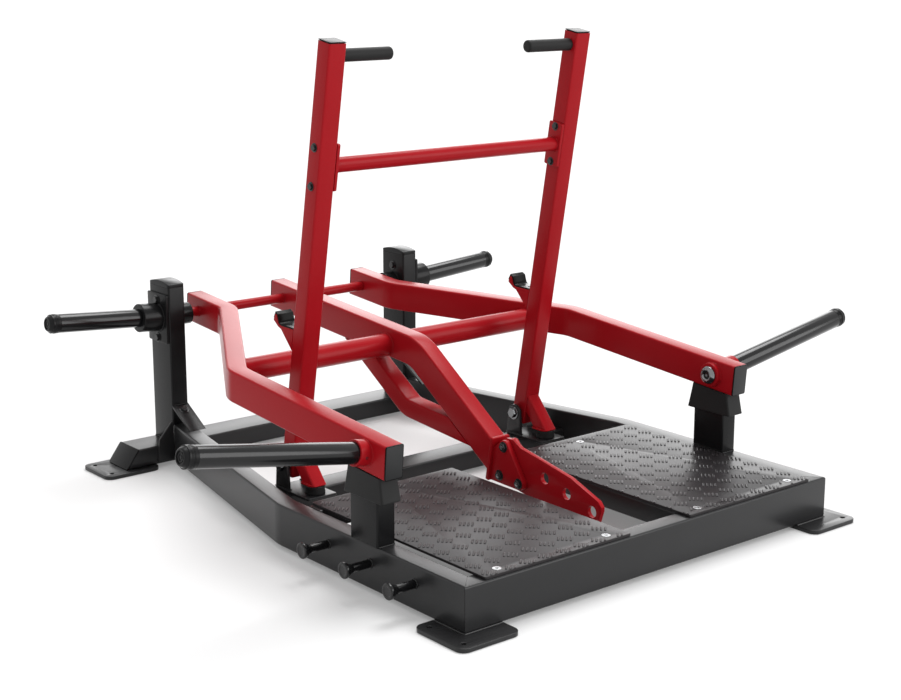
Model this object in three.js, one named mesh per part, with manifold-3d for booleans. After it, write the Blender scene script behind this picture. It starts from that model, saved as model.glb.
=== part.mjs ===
import * as THREE from "three";
import { mergeVertices } from "three/addons/utils/BufferGeometryUtils.js";
import Module from "manifold-3d";

const wasm = await Module();
wasm.setup();

// Belt squat machine. Lengths are in millimetres, angles in degrees, +Z is up and -Y is the
// lifter's front. X is 0 on the mid plane, Y is 0 on the front face of the base, Z is 0 on the floor.

// Shared sizes
const seatGap = 0.3;
const cutReach = 1500;
const tubeWidth = 50;
const tubeWall = 3;
const tubeCorner = 5;
const plugDepth = 10;
const plugClearance = 0.4;
const plugGrip = 0.5;
const capThickness = 4;
const holeClearance = 0.6;
const edgeSoftening = 1.5;
const hornSides = 16;
const roundSides = 10;
const boltSides = 8;
const weldSink = 1.5;
const weldVentRadius = 8;

// Base frame
const baseHalfWidth = 590;
const beamHeight = 104;
const lowBeamHeight = 52;
const rearBeamFront = 1454;
const rearBeamDepth = 104;
const rearBeamHalfBottom = 580;
const rearBeamSlant = 39;
const railBendFront = 700;
const railBendRadius = 150;
const midBeamFront = 865;
const midBeamDepth = 82;
const beamCapThickness = 3;

// Foot plates
const footThickness = 10;
const footCorner = 22;
const footWidth = 165;
const frontFootDepth = 165;
const rearFootDepth = 149;
const frontFootOverhang = 60;
const rearFootOverhang = 23;
const frontFootSideOverhang = 57;
const rearFootSideOverhang = 72;
const footHoleRadius = 6;
const footHoleInset = 26;

// Standing platforms
const platformInner = 97;
const platformSideGap = 10;
const platformFrontGap = 3.7;
const platformRear = 640;
const platformThickness = 6.2;
const screwRadius = 5;
const screwSocketRadius = 3.5;
const screwSocketDepth = 3;
const screwLength = 16;
const screwSideInset = 54;
const screwFrontInset = 26.3;
const screwRearInset = 41;

// Stands that carry the lever arms
const standFront = 300;
const standDepth = 102.5;
const standTop = 224;
const standCapFlare = 21;
const standCapSkirt = 5;
const standCapWall = 2.5;

// Band pegs, on the left side only (-1)
const pegSide = -1;
const pegPlaces = [168, 329, 490];
const pegHeight = 72;
const pegRadius = 10;
const pegLength = 75;
const pegHeadRadius = 19;
const pegHeadThickness = 6;
const pegFlareLength = 16;

// Rear posts
const postInner = 382;
const postTop = 501;
const postCapHeight = 16;
const postCapLip = 5;
const gussetHeight = 54;
const gussetRun = 92;
const gussetThickness = 6;
const gussetBoltShare = 0.2;
const wingReach = 52;
const wingHeight = 107;
const wingThickness = 4;
const wingLift = 7;
const wingOutlineShares = [[0, 0], [1, 0], [0.88, 0.58], [0.12, 1], [0, 1]];
const boltRadius = 6;
const boltHeadRadius = 10.5;
const boltHeadHeight = 7.5;

// Lever pivot
const pivotY = rearBeamFront + rearBeamDepth / 2;
const pivotZ = 413.3;
const leverSlope = 4.55;
const shaftRadius = 10;
const shaftHalfLength = 375;
const bearingRadius = 20;
const bearingWidth = 22;
const housingRadius = 30;
const housingLength = 40;
const spacerRadius = 13.8;

// Storage horns
const flangeThickness = 7.7;
const flangeDepth = 100;
const flangeBottom = 345;
const flangeTop = 482;
const flangeBoltSpacing = 106;
const flangeBoltMiddle = 410;
const sleeveRadius = 39;
const sleeveLength = 59;
const storageHornTilt = 4.46;
const storageHornRise = 1;
const hornRadius = 25;
const hornWall = 4;
const storageHornLength = 332;
const hornCapRadius = 26.5;
const storageCapLength = 43;
const hornCapEnd = 9;
const hornCapRound = 5;
const hornCapDish = 3;

// Lever arms
const armHeight = 80;
const armRearX = 286;
const armRearOverhang = 55;
const armFirstBend = 122;
const armSecondBend = 604;
const armFront = 1237;
const armBendRadius = 80;

// Front horns
const hornPlace = 1166;
const frontHornTilt = 10;
const frontHornLength = 475;
const frontCapLength = 45;
const collarRadius = 30;
const collarLength = 32;
const collarScrewRadius = 3.5;
const bossRadius = 31;
const bossThickness = 12;
const hornBoltRadius = 10;
const hornBoltHeadRadius = 23.5;
const hornBoltHeadHeight = 12;

// Centre lever
const leverOverhang = 58;
const leverBend = 616.5;
const leverDrop = 29.3;
const leverBendRadius = 130;
const leverEnd = 945.3;
const branchStart = 362;
const branchBend = 592.6;
const branchDepth = 161.5;
const branchRadius = 70;
const crossTubePlace = 503;
const crossTubeDrop = 8;
const crossTubeRadius = 30;
const crossTubeWall = 4;

// Lever tip
const endPlateTilt = 9.87;
const endPlateWidth = 57;
const endPlateThickness = 9;
const endPlateAbove = 50;
const endPlateBelow = 67;
const cheekThickness = 15;
const cheekCorner = 17;
const tipPlateThickness = 12;
const tipPlateReach = 385.5;
const tipPlateHeight = 144;
const tipPlateTop = 52;
const tipHoleRadius = 14.5;
const upperTipBolt = 49.6;
const upperTipBoltRise = 31.6;
const lowerTipBolt = 35.3;
const lowerTipBoltDrop = 45.4;
const frontTipBolt = 107.3;
const frontTipBoltDrop = 50.7;
const tipOutlineShares = [
  [0.032, 0.208], [0.068, 0.93], [0.112, 0.993], [0.18, 1], [0.247, 0.896], [0.439, 0.806],
  [0.719, 0.667], [0.971, 0.42], [1, 0.333], [1, 0.264], [0.968, 0], [0.289, 0.09],
];
const tipHoleShares = [[0.483, 0.5], [0.686, 0.361], [0.917, 0.208]];

// Handle frame
const framePivotY = 909;
const framePivotZ = 128;
const frameLean = 10.13;
const uprightInset = 221.5;
const uprightBelow = 28;
const uprightAbove = 1085;
const gripDrop = 33.4;
const gripRadius = 16;
const gripLength = 150;
const gripCoreRadius = 11;
const gripEnd = 8;
const crossBarHeight = 784;
const crossBarRadius = 19;
const crossBarWall = 3;
const barFlangeHeight = 118;
const barFlangeThickness = 8;
const barBoltSpacing = 96;
const barBoltRadius = 5;
const barBoltHeadRadius = 8.5;
const barBoltHeadHeight = 6;

// Handle frame bracket, brace and bumper
const earThickness = 8;
const earGap = 9;
const earWidth = 58;
const earTop = 24;
const frameBoltRadius = 8;
const frameWasherRadius = 19;
const frameWasherThickness = 3;
const frameBushRadius = 15;
const frameBoltHeadRadius = 13.5;
const frameBoltHeadHeight = 9;
const frameNutHeight = 10;
const braceWidth = 40;
const braceSlope = 49;
const braceTop = 53;
const braceFootDepth = 60;
const braceFootWidth = 56;
const braceFootThickness = 7;
const braceFootCorner = 16;
const bumperRadius = 26;
const bumperHeight = 22;
const bumperSetback = 87;
const bumperPlateThickness = 6;
const bumperPlateDepth = 91;
const bracketMargin = 2;
const braceFootShift = 8;

// Hooks on the uprights
const hookFoot = 303.5;
const hookReach = 88.7;
const hookHeight = 69.5;
const hookPadThickness = 4;
const hookOutlineShares = [
  [0, 0], [0.594, 0.55], [0.74, 0.58], [1, 0.74], [0.93, 1], [0.86, 0.97], [0.73, 0.66], [0, 0.8],
];
const hookSeatShares = [[0, 0.8], [0.73, 0.66], [0.86, 0.97]];

// Looks
const paint = (color) => new THREE.MeshStandardMaterial({ color, roughness: 0.38, metalness: 0.2 });
const redPaint = paint(0x9a1c20);
const blackPaint = paint(0x222224);
const treadPaint = new THREE.MeshStandardMaterial({ color: 0x2c2a2c, roughness: 0.6, metalness: 0.3 });
const plastic = new THREE.MeshStandardMaterial({ color: 0x161617, roughness: 0.45, metalness: 0 });
const rubber = new THREE.MeshStandardMaterial({ color: 0x1b1b1c, roughness: 0.75, metalness: 0 });
const steel = new THREE.MeshStandardMaterial({ color: 0xc4c6c8, roughness: 0.25, metalness: 1 });

// Derived places
const rad = THREE.MathUtils.degToRad;
const railTop = footThickness + beamHeight;
const lowBeamTop = footThickness + lowBeamHeight;
const postOuter = postInner + tubeWidth;
const platformOuter = baseHalfWidth - tubeWidth - platformSideGap;
const gripHeight = uprightAbove - gripDrop;
const railX = baseHalfWidth - tubeWidth / 2;
const railToe = Math.atan2(baseHalfWidth - postOuter, rearBeamFront - railBendFront);
const rearBeamRear = rearBeamFront + rearBeamDepth;
const machineMiddle = (rearBeamRear + rearFootOverhang - frontFootOverhang) / 2;
const armFrontX = railX;
const armSplay = Math.atan2(armFrontX - armRearX, armSecondBend - armFirstBend);
const uprightInner = baseHalfWidth - uprightInset;
const uprightX = uprightInner + tubeWidth / 2;
const postX = postInner + tubeWidth / 2;
const postMiddle = pivotY;
const xAxis = new THREE.Vector3(1, 0, 0);
const yAxis = new THREE.Vector3(0, 1, 0);
const zAxis = new THREE.Vector3(0, 0, 1);
const point = (x, y, z) => new THREE.Vector3(x, y, z);
const flat = (x, y) => new THREE.Vector2(x, y);

// Solids
function welded(geometry) {
  const bare = geometry.clone();
  bare.deleteAttribute("normal");
  bare.deleteAttribute("uv");
  const merged = mergeVertices(bare);
  const index = [];
  for (let corner = 0; corner < merged.index.count; corner += 3) {
    const [a, b, c] = merged.index.array.slice(corner, corner + 3);
    if (a !== b && b !== c && c !== a) index.push(a, b, c);
  }
  merged.setIndex(index);
  return merged;
}

function solidOf(geometry) {
  const merged = welded(geometry);
  const vertProperties = Float32Array.from(merged.attributes.position.array);
  const triVerts = Uint32Array.from(merged.index.array);
  return new wasm.Manifold(new wasm.Mesh({ numProp: 3, vertProperties, triVerts }));
}

function geometryOf(solid) {
  const mesh = solid.getMesh();
  const geometry = new THREE.BufferGeometry();
  geometry.setAttribute("position", new THREE.BufferAttribute(Float32Array.from(mesh.vertProperties), 3));
  geometry.setIndex(new THREE.BufferAttribute(Uint32Array.from(mesh.triVerts), 1));
  geometry.computeVertexNormals();
  return geometry;
}

function cut(body, ...tools) {
  return geometryOf(tools.reduce((left, tool) => left.subtract(solidOf(tool)), solidOf(body)));
}

function joined(...parts) {
  return geometryOf(parts.map(solidOf).reduce((sum, part) => sum.add(part)));
}

function trimmed(body, place, outward) {
  const block = new THREE.BoxGeometry(cutReach, cutReach, cutReach);
  block.translate(0, 0, cutReach / 2);
  block.applyQuaternion(new THREE.Quaternion().setFromUnitVectors(zAxis, outward.clone().normalize()));
  block.translate(place.x, place.y, place.z);
  return cut(body, block);
}

// Outlines
function roundedOutline(width, height, corner = tubeCorner, steps = 2) {
  const outline = [];
  [[1, 1], [-1, 1], [-1, -1], [1, -1]].forEach(([across, up], quarter) => {
    for (let step = 0; step <= steps; step += 1) {
      const turn = (quarter + step / steps) * Math.PI / 2;
      const x = across * (width / 2 - corner) + corner * Math.cos(turn);
      const y = up * (height / 2 - corner) + corner * Math.sin(turn);
      outline.push(flat(x, y));
    }
  });
  return outline;
}

function circleOutline(radius, sides = roundSides, x = 0, y = 0) {
  const outline = [];
  for (let side = 0; side < sides; side += 1) {
    const turn = side / sides * Math.PI * 2;
    outline.push(flat(x + radius * Math.cos(turn), y + radius * Math.sin(turn)));
  }
  return outline;
}

// The radius of the corners of a bore whose flats lie on the given radius
function boreRadius(radius, sides) {
  return radius / Math.cos(Math.PI / sides);
}

function boreOutline(radius, sides, x = 0, y = 0) {
  return circleOutline(boreRadius(radius, sides), sides, x, y);
}

function wrapped(points) {
  const sorted = [...points].sort((a, b) => a.x - b.x || a.y - b.y);
  const half = (ordered) => ordered.reduce((chain, next) => {
    while (chain.length > 1) {
      const [a, b] = chain.slice(-2);
      if ((b.x - a.x) * (next.y - a.y) - (b.y - a.y) * (next.x - a.x) > 0) break;
      chain.pop();
    }
    return [...chain, next];
  }, []);
  return [...half(sorted).slice(0, -1), ...half([...sorted].reverse()).slice(0, -1)];
}

function extruded(outline, depth, holes = []) {
  const shape = new THREE.Shape(outline);
  shape.holes = holes.map((hole) => new THREE.Path(hole));
  return new THREE.ExtrudeGeometry(shape, { depth, bevelEnabled: false });
}

// A flat piece drawn in Y and Z, with its thickness centred on x
function sidePlate(outline, thickness, x, holes = []) {
  const geometry = extruded(outline, thickness, holes);
  geometry.applyMatrix4(new THREE.Matrix4().makeBasis(yAxis, zAxis, xAxis));
  return geometry.translate(x - thickness / 2, 0, 0);
}

function tubeSection(width, height, wall = tubeWall) {
  const x = width / 2 - wall;
  const y = height / 2 - wall;
  return [roundedOutline(width, height), [flat(x, y), flat(-x, y), flat(-x, -y), flat(x, -y)]];
}

// Straight rectangular tubes along each axis, from a start to an end
function tubeAlongX(start, end, depth, height) {
  const [outer, inner] = tubeSection(depth, height);
  const geometry = extruded(outer, end - start, [inner]);
  geometry.applyMatrix4(new THREE.Matrix4().makeBasis(yAxis, zAxis, xAxis));
  return geometry.translate(start, 0, 0);
}

function tubeAlongZ(start, end, width, depth) {
  const [outer, inner] = tubeSection(width, depth);
  return extruded(outer, end - start, [inner]).translate(0, 0, start);
}

// Round pieces: a profile of [radius, height] turned about Z, listed with the material on its left
function turned(profile, sides = roundSides) {
  const geometry = new THREE.LatheGeometry(profile.map(([radius, height]) => flat(radius, height)), sides);
  return welded(geometry.rotateX(Math.PI / 2));
}

function rod(radius, start, end, sides = roundSides) {
  return turned([[0, start], [radius, start], [radius, end], [0, end]], sides);
}

function drill(radius, start, end, sides = roundSides) {
  return rod(boreRadius(radius, sides), start, end, sides);
}

function ring(outer, inner, start, end, sides = roundSides) {
  const bore = boreRadius(inner, sides);
  return turned([[bore, start], [outer, start], [outer, end], [bore, end], [bore, start]], sides);
}

function alongX(geometry) {
  return geometry.applyMatrix4(new THREE.Matrix4().makeBasis(yAxis, zAxis, xAxis));
}

// A closed solid through rounded rectangles of different sizes, one above the other
function stacked(levels, steps = 2) {
  const rings = levels.map(({ width, depth, corner, z, y = 0 }) => (
    roundedOutline(width, depth, corner, steps).map((spot) => point(spot.x, spot.y + y, z))));
  const count = rings[0].length;
  const spots = rings.flat();
  const index = [];
  for (let level = 0; level < rings.length - 1; level += 1) {
    for (let spot = 0; spot < count; spot += 1) {
      const a = level * count + spot;
      const b = level * count + (spot + 1) % count;
      index.push(a, b, b + count, a, b + count, a + count);
    }
  }
  const last = (rings.length - 1) * count;
  for (let spot = 1; spot < count - 1; spot += 1) {
    index.push(0, spot + 1, spot, last, last + spot, last + spot + 1);
  }
  const geometry = new THREE.BufferGeometry().setFromPoints(spots);
  geometry.setIndex(index);
  geometry.computeVertexNormals();
  return geometry;
}

// A path in one plane that keeps its section square to the plane, with mitred corners at no radius
class BentPath extends THREE.Curve {
  constructor(corners, radius, planeNormal, steps) {
    super();
    this.planeNormal = planeNormal;
    this.stops = [{ place: corners[0], way: corners[1].clone().sub(corners[0]).normalize() }];
    for (let corner = 1; corner < corners.length - 1; corner += 1) {
      const before = corners[corner].clone().sub(corners[corner - 1]).normalize();
      const after = corners[corner + 1].clone().sub(corners[corner]).normalize();
      const turn = Math.atan2(before.clone().cross(after).dot(planeNormal), before.dot(after));
      if (radius === 0) {
        const way = before.clone().add(after).normalize();
        this.stops.push({ place: corners[corner], way, stretch: 1 / Math.cos(turn / 2) });
        continue;
      }
      const side = planeNormal.clone().cross(before).multiplyScalar(Math.sign(turn));
      const reach = radius * Math.tan(Math.abs(turn) / 2);
      const start = corners[corner].clone().addScaledVector(before, -reach);
      const centre = start.clone().addScaledVector(side, radius);
      for (let step = 0; step <= steps; step += 1) {
        const angle = turn * step / steps;
        const arm = start.clone().sub(centre).applyAxisAngle(planeNormal, angle);
        const way = before.clone().applyAxisAngle(planeNormal, angle);
        this.stops.push({ place: centre.clone().add(arm), way });
      }
    }
    const [last, end] = corners.slice(-2);
    this.stops.push({ place: end, way: end.clone().sub(last).normalize() });
  }

  getSpacedPoints() {
    return this.stops.map((stop) => stop.place.clone());
  }

  computeFrenetFrames() {
    const tangents = this.stops.map((stop) => stop.way.clone());
    const binormals = this.stops.map(() => this.planeNormal.clone());
    const normals = this.stops.map((stop) => (
      this.planeNormal.clone().cross(stop.way).multiplyScalar(stop.stretch ?? 1)));
    return { tangents, normals, binormals };
  }
}

// A bent rectangular tube: "across" lies in the plane of the bends, "along" square to it
function bentTube(corners, radius, planeNormal, across, along, steps = 3) {
  const path = new BentPath(corners, radius, planeNormal, steps);
  const [outer, inner] = tubeSection(across, along);
  const shape = new THREE.Shape(outer);
  shape.holes = [new THREE.Path(inner)];
  return new THREE.ExtrudeGeometry(shape, { steps: path.stops.length - 1, extrudePath: path });
}

const bothSides = (make) => [-1, 1].map(make);
const facing = (geometry, side) => (side > 0 ? geometry : geometry.rotateZ(Math.PI));

// A hexagon bolt along Z with the underside of its head at zero and its shank going down
function bolt(radius, headRadius, headHeight, grip) {
  return joined(rod(headRadius, 0, headHeight, 6), rod(radius, -grip, headHeight / 2, boltSides));
}

// Scene graph
const machine = new THREE.Group();
machine.position.y = -machineMiddle;

const lever = new THREE.Group();
lever.position.set(0, pivotY, pivotZ);
lever.rotation.x = rad(leverSlope);
machine.add(lever);

const leverFallRate = Math.tan(rad(leverDrop));
const tipPlace = { y: -leverEnd, z: -(leverEnd - leverBend) * leverFallRate };
const tip = new THREE.Group();
tip.position.set(0, tipPlace.y, tipPlace.z);
tip.rotation.x = -rad(leverSlope);
lever.add(tip);

const handleFrame = new THREE.Group();
handleFrame.position.set(0, framePivotY, framePivotZ);
handleFrame.rotation.x = rad(frameLean);
machine.add(handleFrame);

const frameFoot = new THREE.Group();
frameFoot.rotation.x = -rad(frameLean);
handleFrame.add(frameFoot);

function piece(parent, name, geometry, look) {
  const mesh = new THREE.Mesh(geometry, look);
  mesh.name = name;
  parent.add(mesh);
}

function pair(parent, name, make, look) {
  piece(parent, `left_${name}`, make(-1), look);
  piece(parent, `right_${name}`, make(1), look);
}

// Base frame: front beam mitred to the rails, rails toeing in to the posts
const beamMiddle = footThickness + beamHeight / 2;
const lowBeamMiddle = footThickness + lowBeamHeight / 2;

function footPlate(side, outerX, front, depth) {
  const across = outerX - footWidth / 2;
  const holeX = footWidth / 2 - footHoleInset;
  const holeY = depth / 2 - footHoleInset;
  const holes = [-1, 1].map((end) => boreOutline(footHoleRadius, boltSides, side * holeX, end * holeY));
  const plate = extruded(roundedOutline(footWidth, depth, footCorner, 3), footThickness, holes);
  return plate.translate(side * across, front + depth / 2, 0);
}

function frontBeam() {
  let beam = tubeAlongX(-baseHalfWidth, baseHalfWidth, tubeWidth, beamHeight);
  beam.translate(0, tubeWidth / 2, beamMiddle);
  bothSides((side) => {
    beam = trimmed(beam, point(side * baseHalfWidth, -seatGap, 0), point(side, 1, 0));
    return side;
  });
  const feet = bothSides((side) => (
    footPlate(side, baseHalfWidth + frontFootSideOverhang, -frontFootOverhang, frontFootDepth)));
  const drills = bothSides((side) => screwPlaces.slice(0, 2).map((spot) => screwDrill(side, spot))).flat();
  return cut(joined(beam, ...feet), ...drills);
}

function rail(side) {
  const bend = railBendFront - tubeWidth / 2 * Math.tan(railToe / 2);
  const rearX = railX - (rearBeamRear - bend) * Math.tan(railToe);
  const places = [[railX, 0], [railX, bend], [rearX, rearBeamRear]];
  const corners = places.map(([x, y]) => point(side * x, y, 0));
  let body = bentTube(corners, railBendRadius, zAxis, tubeWidth, beamHeight);
  body.translate(0, 0, beamMiddle + seatGap);
  body = trimmed(body, point(side * baseHalfWidth, seatGap, 0), point(-side, -1, 0));
  body = trimmed(body, point(0, rearBeamFront - seatGap, 0), yAxis);
  if (side !== pegSide) return body;
  const start = side > 0 ? railX : -railX - tubeWidth;
  return cut(body, ...pegPlaces.map((y) => (
    alongX(drill(pegRadius + seatGap, 0, tubeWidth)).translate(start, y, pegHeight))));
}

function rearBeamEnd(side) {
  const slope = rearBeamSlant / lowBeamHeight;
  const inner = rearBeamHalfBottom - weldSink;
  const outer = rearBeamHalfBottom + beamCapThickness * Math.hypot(1, slope);
  const outline = [
    flat(footThickness, side * inner), flat(lowBeamTop, side * (inner - lowBeamHeight * slope)),
    flat(lowBeamTop, side * (outer - lowBeamHeight * slope)), flat(footThickness, side * outer),
  ];
  const geometry = extruded(outline, rearBeamDepth);
  geometry.applyMatrix4(new THREE.Matrix4().makeBasis(zAxis, xAxis, yAxis));
  return geometry.translate(0, rearBeamFront, 0);
}

function wing(side) {
  const inner = side * (postOuter + 2 * seatGap + wingThickness * Math.tan(railToe));
  const outline = wingOutlineShares.map(([across, up]) => (
    flat(footThickness + wingLift + up * wingHeight, inner + across * side * wingReach)));
  const geometry = extruded(outline, wingThickness + weldSink);
  geometry.applyMatrix4(new THREE.Matrix4().makeBasis(zAxis, xAxis, yAxis));
  return geometry.translate(0, rearBeamFront - wingThickness, 0);
}

function rearBeam() {
  let beam = tubeAlongX(-rearBeamHalfBottom, rearBeamHalfBottom, rearBeamDepth, lowBeamHeight);
  beam.translate(0, rearBeamFront + rearBeamDepth / 2, lowBeamMiddle);
  bothSides((side) => {
    const slant = point(side * lowBeamHeight, 0, rearBeamSlant);
    beam = trimmed(beam, point(side * rearBeamHalfBottom, 0, footThickness), slant);
    return side;
  });
  const front = rearBeamRear + rearFootOverhang - rearFootDepth;
  const footSide = rearBeamHalfBottom + rearFootSideOverhang;
  const feet = bothSides((side) => footPlate(side, footSide, front, rearFootDepth));
  const ventTop = lowBeamTop + lowBeamHeight;
  const vents = bothSides((side) => (
    rod(weldVentRadius, lowBeamMiddle, ventTop, boltSides).translate(side * postX, postMiddle, 0)));
  return cut(joined(beam, ...feet, ...bothSides(rearBeamEnd), ...bothSides(wing)), ...vents);
}

function railInnerX(y) {
  const bend = railBendFront - tubeWidth / 2 * Math.tan(railToe / 2);
  const middle = railX - (y - bend) * Math.tan(railToe);
  return middle - tubeWidth / 2 / Math.cos(railToe);
}

function midBeam() {
  const middle = midBeamFront + midBeamDepth / 2;
  let beam = tubeAlongX(-baseHalfWidth, baseHalfWidth, midBeamDepth, lowBeamHeight);
  beam.translate(0, middle, lowBeamMiddle + seatGap);
  bothSides((side) => {
    const outward = point(side * Math.cos(railToe), Math.sin(railToe), 0);
    const place = point(side * railInnerX(middle), middle, 0).addScaledVector(outward, -seatGap);
    beam = trimmed(beam, place, outward);
    return side;
  });
  return beam;
}

// Platform frames, platforms and their countersunk screws
const innerRailX = platformInner + tubeWidth / 2;
const joistMiddle = railTop - tubeWidth / 2 + seatGap;
const platformBottom = railTop + 2 * seatGap;
const platformTop = platformBottom + platformThickness;
const screwPlaces = [
  flat(platformInner + screwSideInset, platformFrontGap + screwFrontInset),
  flat(platformOuter - screwSideInset, platformFrontGap + screwFrontInset),
  flat((platformInner + platformOuter) / 2, platformRear - screwRearInset),
];

function screwDrill(side, spot) {
  const hole = drill(screwRadius + seatGap, platformBottom - tubeWidth / 2, platformTop, boltSides);
  return hole.translate(side * spot.x, spot.y, 0);
}

function platformFrame(side) {
  const corners = [
    point(side * innerRailX, tubeWidth + seatGap, joistMiddle),
    point(side * innerRailX, platformRear - tubeWidth / 2, joistMiddle),
    point(side * (baseHalfWidth - tubeWidth - seatGap), platformRear - tubeWidth / 2, joistMiddle),
  ];
  return cut(bentTube(corners, 0, zAxis, tubeWidth, tubeWidth), screwDrill(side, screwPlaces[2]));
}

function platform(side) {
  const width = platformOuter - platformInner;
  const depth = platformRear - platformFrontGap;
  const body = extruded(roundedOutline(width, depth, tubeCorner), platformThickness);
  body.translate(side * (platformInner + platformOuter) / 2, platformFrontGap + depth / 2, platformBottom);
  const screwTip = platformBottom - screwLength;
  const shanks = screwPlaces.map((spot) => (
    rod(screwRadius, screwTip, platformBottom + weldSink, boltSides).translate(side * spot.x, spot.y, 0)));
  const slots = screwPlaces.map((spot) => (
    rod(screwSocketRadius, platformTop - screwSocketDepth, platformTop + screwSocketDepth, 6)
      .translate(side * spot.x, spot.y, 0)));
  return cut(joined(body, ...shanks), ...slots);
}

piece(machine, "front_beam", frontBeam(), blackPaint);
pair(machine, "rail", rail, blackPaint);
piece(machine, "rear_beam", rearBeam(), blackPaint);
piece(machine, "mid_beam", midBeam(), blackPaint);
pair(machine, "platform_frame", platformFrame, blackPaint);
pair(machine, "platform", platform, treadPaint);

// Stands on the rails, with rubber caps that the lever arms rest on
const standMiddle = standFront + standDepth / 2;
const standBottom = railTop + 2 * seatGap;

function stand(side) {
  return tubeAlongZ(standBottom, standTop, tubeWidth, standDepth).translate(side * railX, standMiddle, 0);
}

function standCap(side) {
  const slope = Math.tan(rad(leverSlope));
  const armBottom = pivotZ - (pivotY - standMiddle) * slope - armHeight / 2 / Math.cos(rad(leverSlope));
  const top = armBottom - seatGap;
  const skirt = standTop - standCapSkirt;
  const flared = standDepth + 2 * standCapFlare;
  const shell = stacked([
    { width: tubeWidth + 2 * standCapWall, depth: flared, corner: tubeCorner, z: skirt },
    { width: tubeWidth + 2 * standCapWall, depth: flared, corner: tubeCorner, z: standTop },
    { width: tubeWidth, depth: standDepth, corner: tubeCorner, z: top },
  ]);
  const mouth = { width: tubeWidth + 2 * seatGap, depth: standDepth + 2 * seatGap, corner: tubeCorner };
  const socket = stacked([
    { ...mouth, z: skirt - standCapSkirt },
    { ...mouth, z: standTop + seatGap },
  ]);
  const body = cut(shell, socket).translate(side * railX, standMiddle, 0);
  return trimmed(body, point(0, standMiddle, top), point(0, -slope, 1));
}

pair(machine, "stand", stand, blackPaint);
pair(machine, "stand_cap", standCap, rubber);

// Rear posts with caps, sloped gussets in front and wing gussets outside
const flangeBoltHeights = [-1, 1].map((end) => flangeBoltMiddle + end * flangeBoltSpacing / 2);

function throughX(body, radius, x, spots, sides = boltSides) {
  const drills = spots.map((spot) => (
    alongX(drill(radius, -tubeWidth, tubeWidth, sides)).translate(x, spot.y, spot.z)));
  return cut(body, ...drills);
}

function tubeCap(width, depth) {
  const grip = tubeWall - plugGrip;
  const plug = { width: width - 2 * grip, depth: depth - 2 * grip, corner: tubeCorner - grip };
  return stacked([
    { ...plug, z: -plugDepth },
    { ...plug, z: 0 },
    { width, depth, corner: tubeCorner, z: 0 },
    { width, depth, corner: tubeCorner, z: capThickness - edgeSoftening },
    { width: width - 2 * edgeSoftening, depth: depth - 2 * edgeSoftening, corner: tubeCorner, z: capThickness },
  ]);
}

function postCap(side) {
  const depth = rearBeamDepth;
  const plug = { width: tubeWidth - 2 * (tubeWall + plugClearance), depth: depth - 2 * (tubeWall + plugClearance) };
  const dome = (rise, inset) => ({
    width: tubeWidth - 2 * inset, depth: depth - 2 * inset, corner: tubeCorner, z: seatGap + rise,
  });
  const cap = stacked([
    { ...plug, corner: tubeCorner / 2, z: -plugDepth },
    { ...plug, corner: tubeCorner / 2, z: seatGap },
    dome(0, 0),
    dome(postCapLip, 0),
    dome((postCapHeight + postCapLip) / 2, postCapLip / 2),
    dome(postCapHeight - edgeSoftening, postCapLip),
    dome(postCapHeight, postCapLip + tubeCorner),
  ], 1);
  return cap.translate(side * postX, postMiddle, postTop);
}

function gusset(side) {
  const slope = Math.hypot(gussetRun, gussetHeight) / gussetRun * gussetThickness;
  const back = rearBeamFront + weldSink;
  const foot = railTop + 2 * seatGap;
  const front = rearBeamFront - gussetRun;
  const rate = gussetHeight / gussetRun;
  const outline = [
    flat(front, foot), flat(front + slope / rate, foot),
    flat(back, foot + (back - front) * rate - slope), flat(back, foot + (back - front) * rate),
  ];
  const screwed = bolt(boltRadius, boltHeadRadius, boltHeadHeight, gussetThickness * 2);
  screwed.translate(0, 0, -weldSink / 2).rotateX(Math.atan(rate));
  const run = gussetRun * (1 - gussetBoltShare);
  screwed.translate(side * postX, front + run, foot + run * rate);
  return joined(sidePlate(outline, tubeWidth, side * postX), screwed);
}

const housingOuter = postInner - seatGap;
const housingInner = housingOuter - housingLength;

function housing(side) {
  const body = alongX(ring(housingRadius, bearingRadius + seatGap, housingInner, postInner + weldSink, hornSides));
  return facing(body, side).translate(0, pivotY, pivotZ);
}

function post(side) {
  const body = tubeAlongZ(lowBeamTop + seatGap, postTop, tubeWidth, rearBeamDepth);
  body.translate(side * postX, postMiddle, 0);
  const spots = flangeBoltHeights.map((z) => ({ y: pivotY, z }));
  const drilled = throughX(body, boltRadius + holeClearance / 2, side * postX, spots);
  return joined(drilled, gusset(side), housing(side));
}

pair(machine, "post", post, blackPaint);
pair(machine, "post_cap", postCap, plastic);

// Storage flanges bolted through the posts, with a sleeve that holds each horn
const flangeFace = postOuter + seatGap + flangeThickness;
const storageZ = pivotZ + storageHornRise;

function aimed(geometry, side, tilt, x, y, z) {
  return geometry.rotateY(side * (Math.PI / 2 - rad(tilt))).translate(side * x, y, z);
}

function hornRoot(tilt) {
  return (hornRadius * Math.sin(rad(tilt)) + seatGap) / Math.cos(rad(tilt));
}

function flangeBolts(side) {
  const grip = flangeThickness + tubeWidth + 2 * seatGap + boltHeadHeight + weldSink;
  return flangeBoltHeights.flatMap((z) => {
    const sunk = bolt(boltRadius, boltHeadRadius, boltHeadHeight + weldSink, grip);
    const screwed = alongX(sunk.translate(0, 0, flangeFace - weldSink));
    const tightened = alongX(rod(boltHeadRadius, postInner - seatGap - boltHeadHeight, postInner - seatGap, 6));
    return [screwed, tightened].map((part) => facing(part, side).translate(0, pivotY, z));
  });
}

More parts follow.
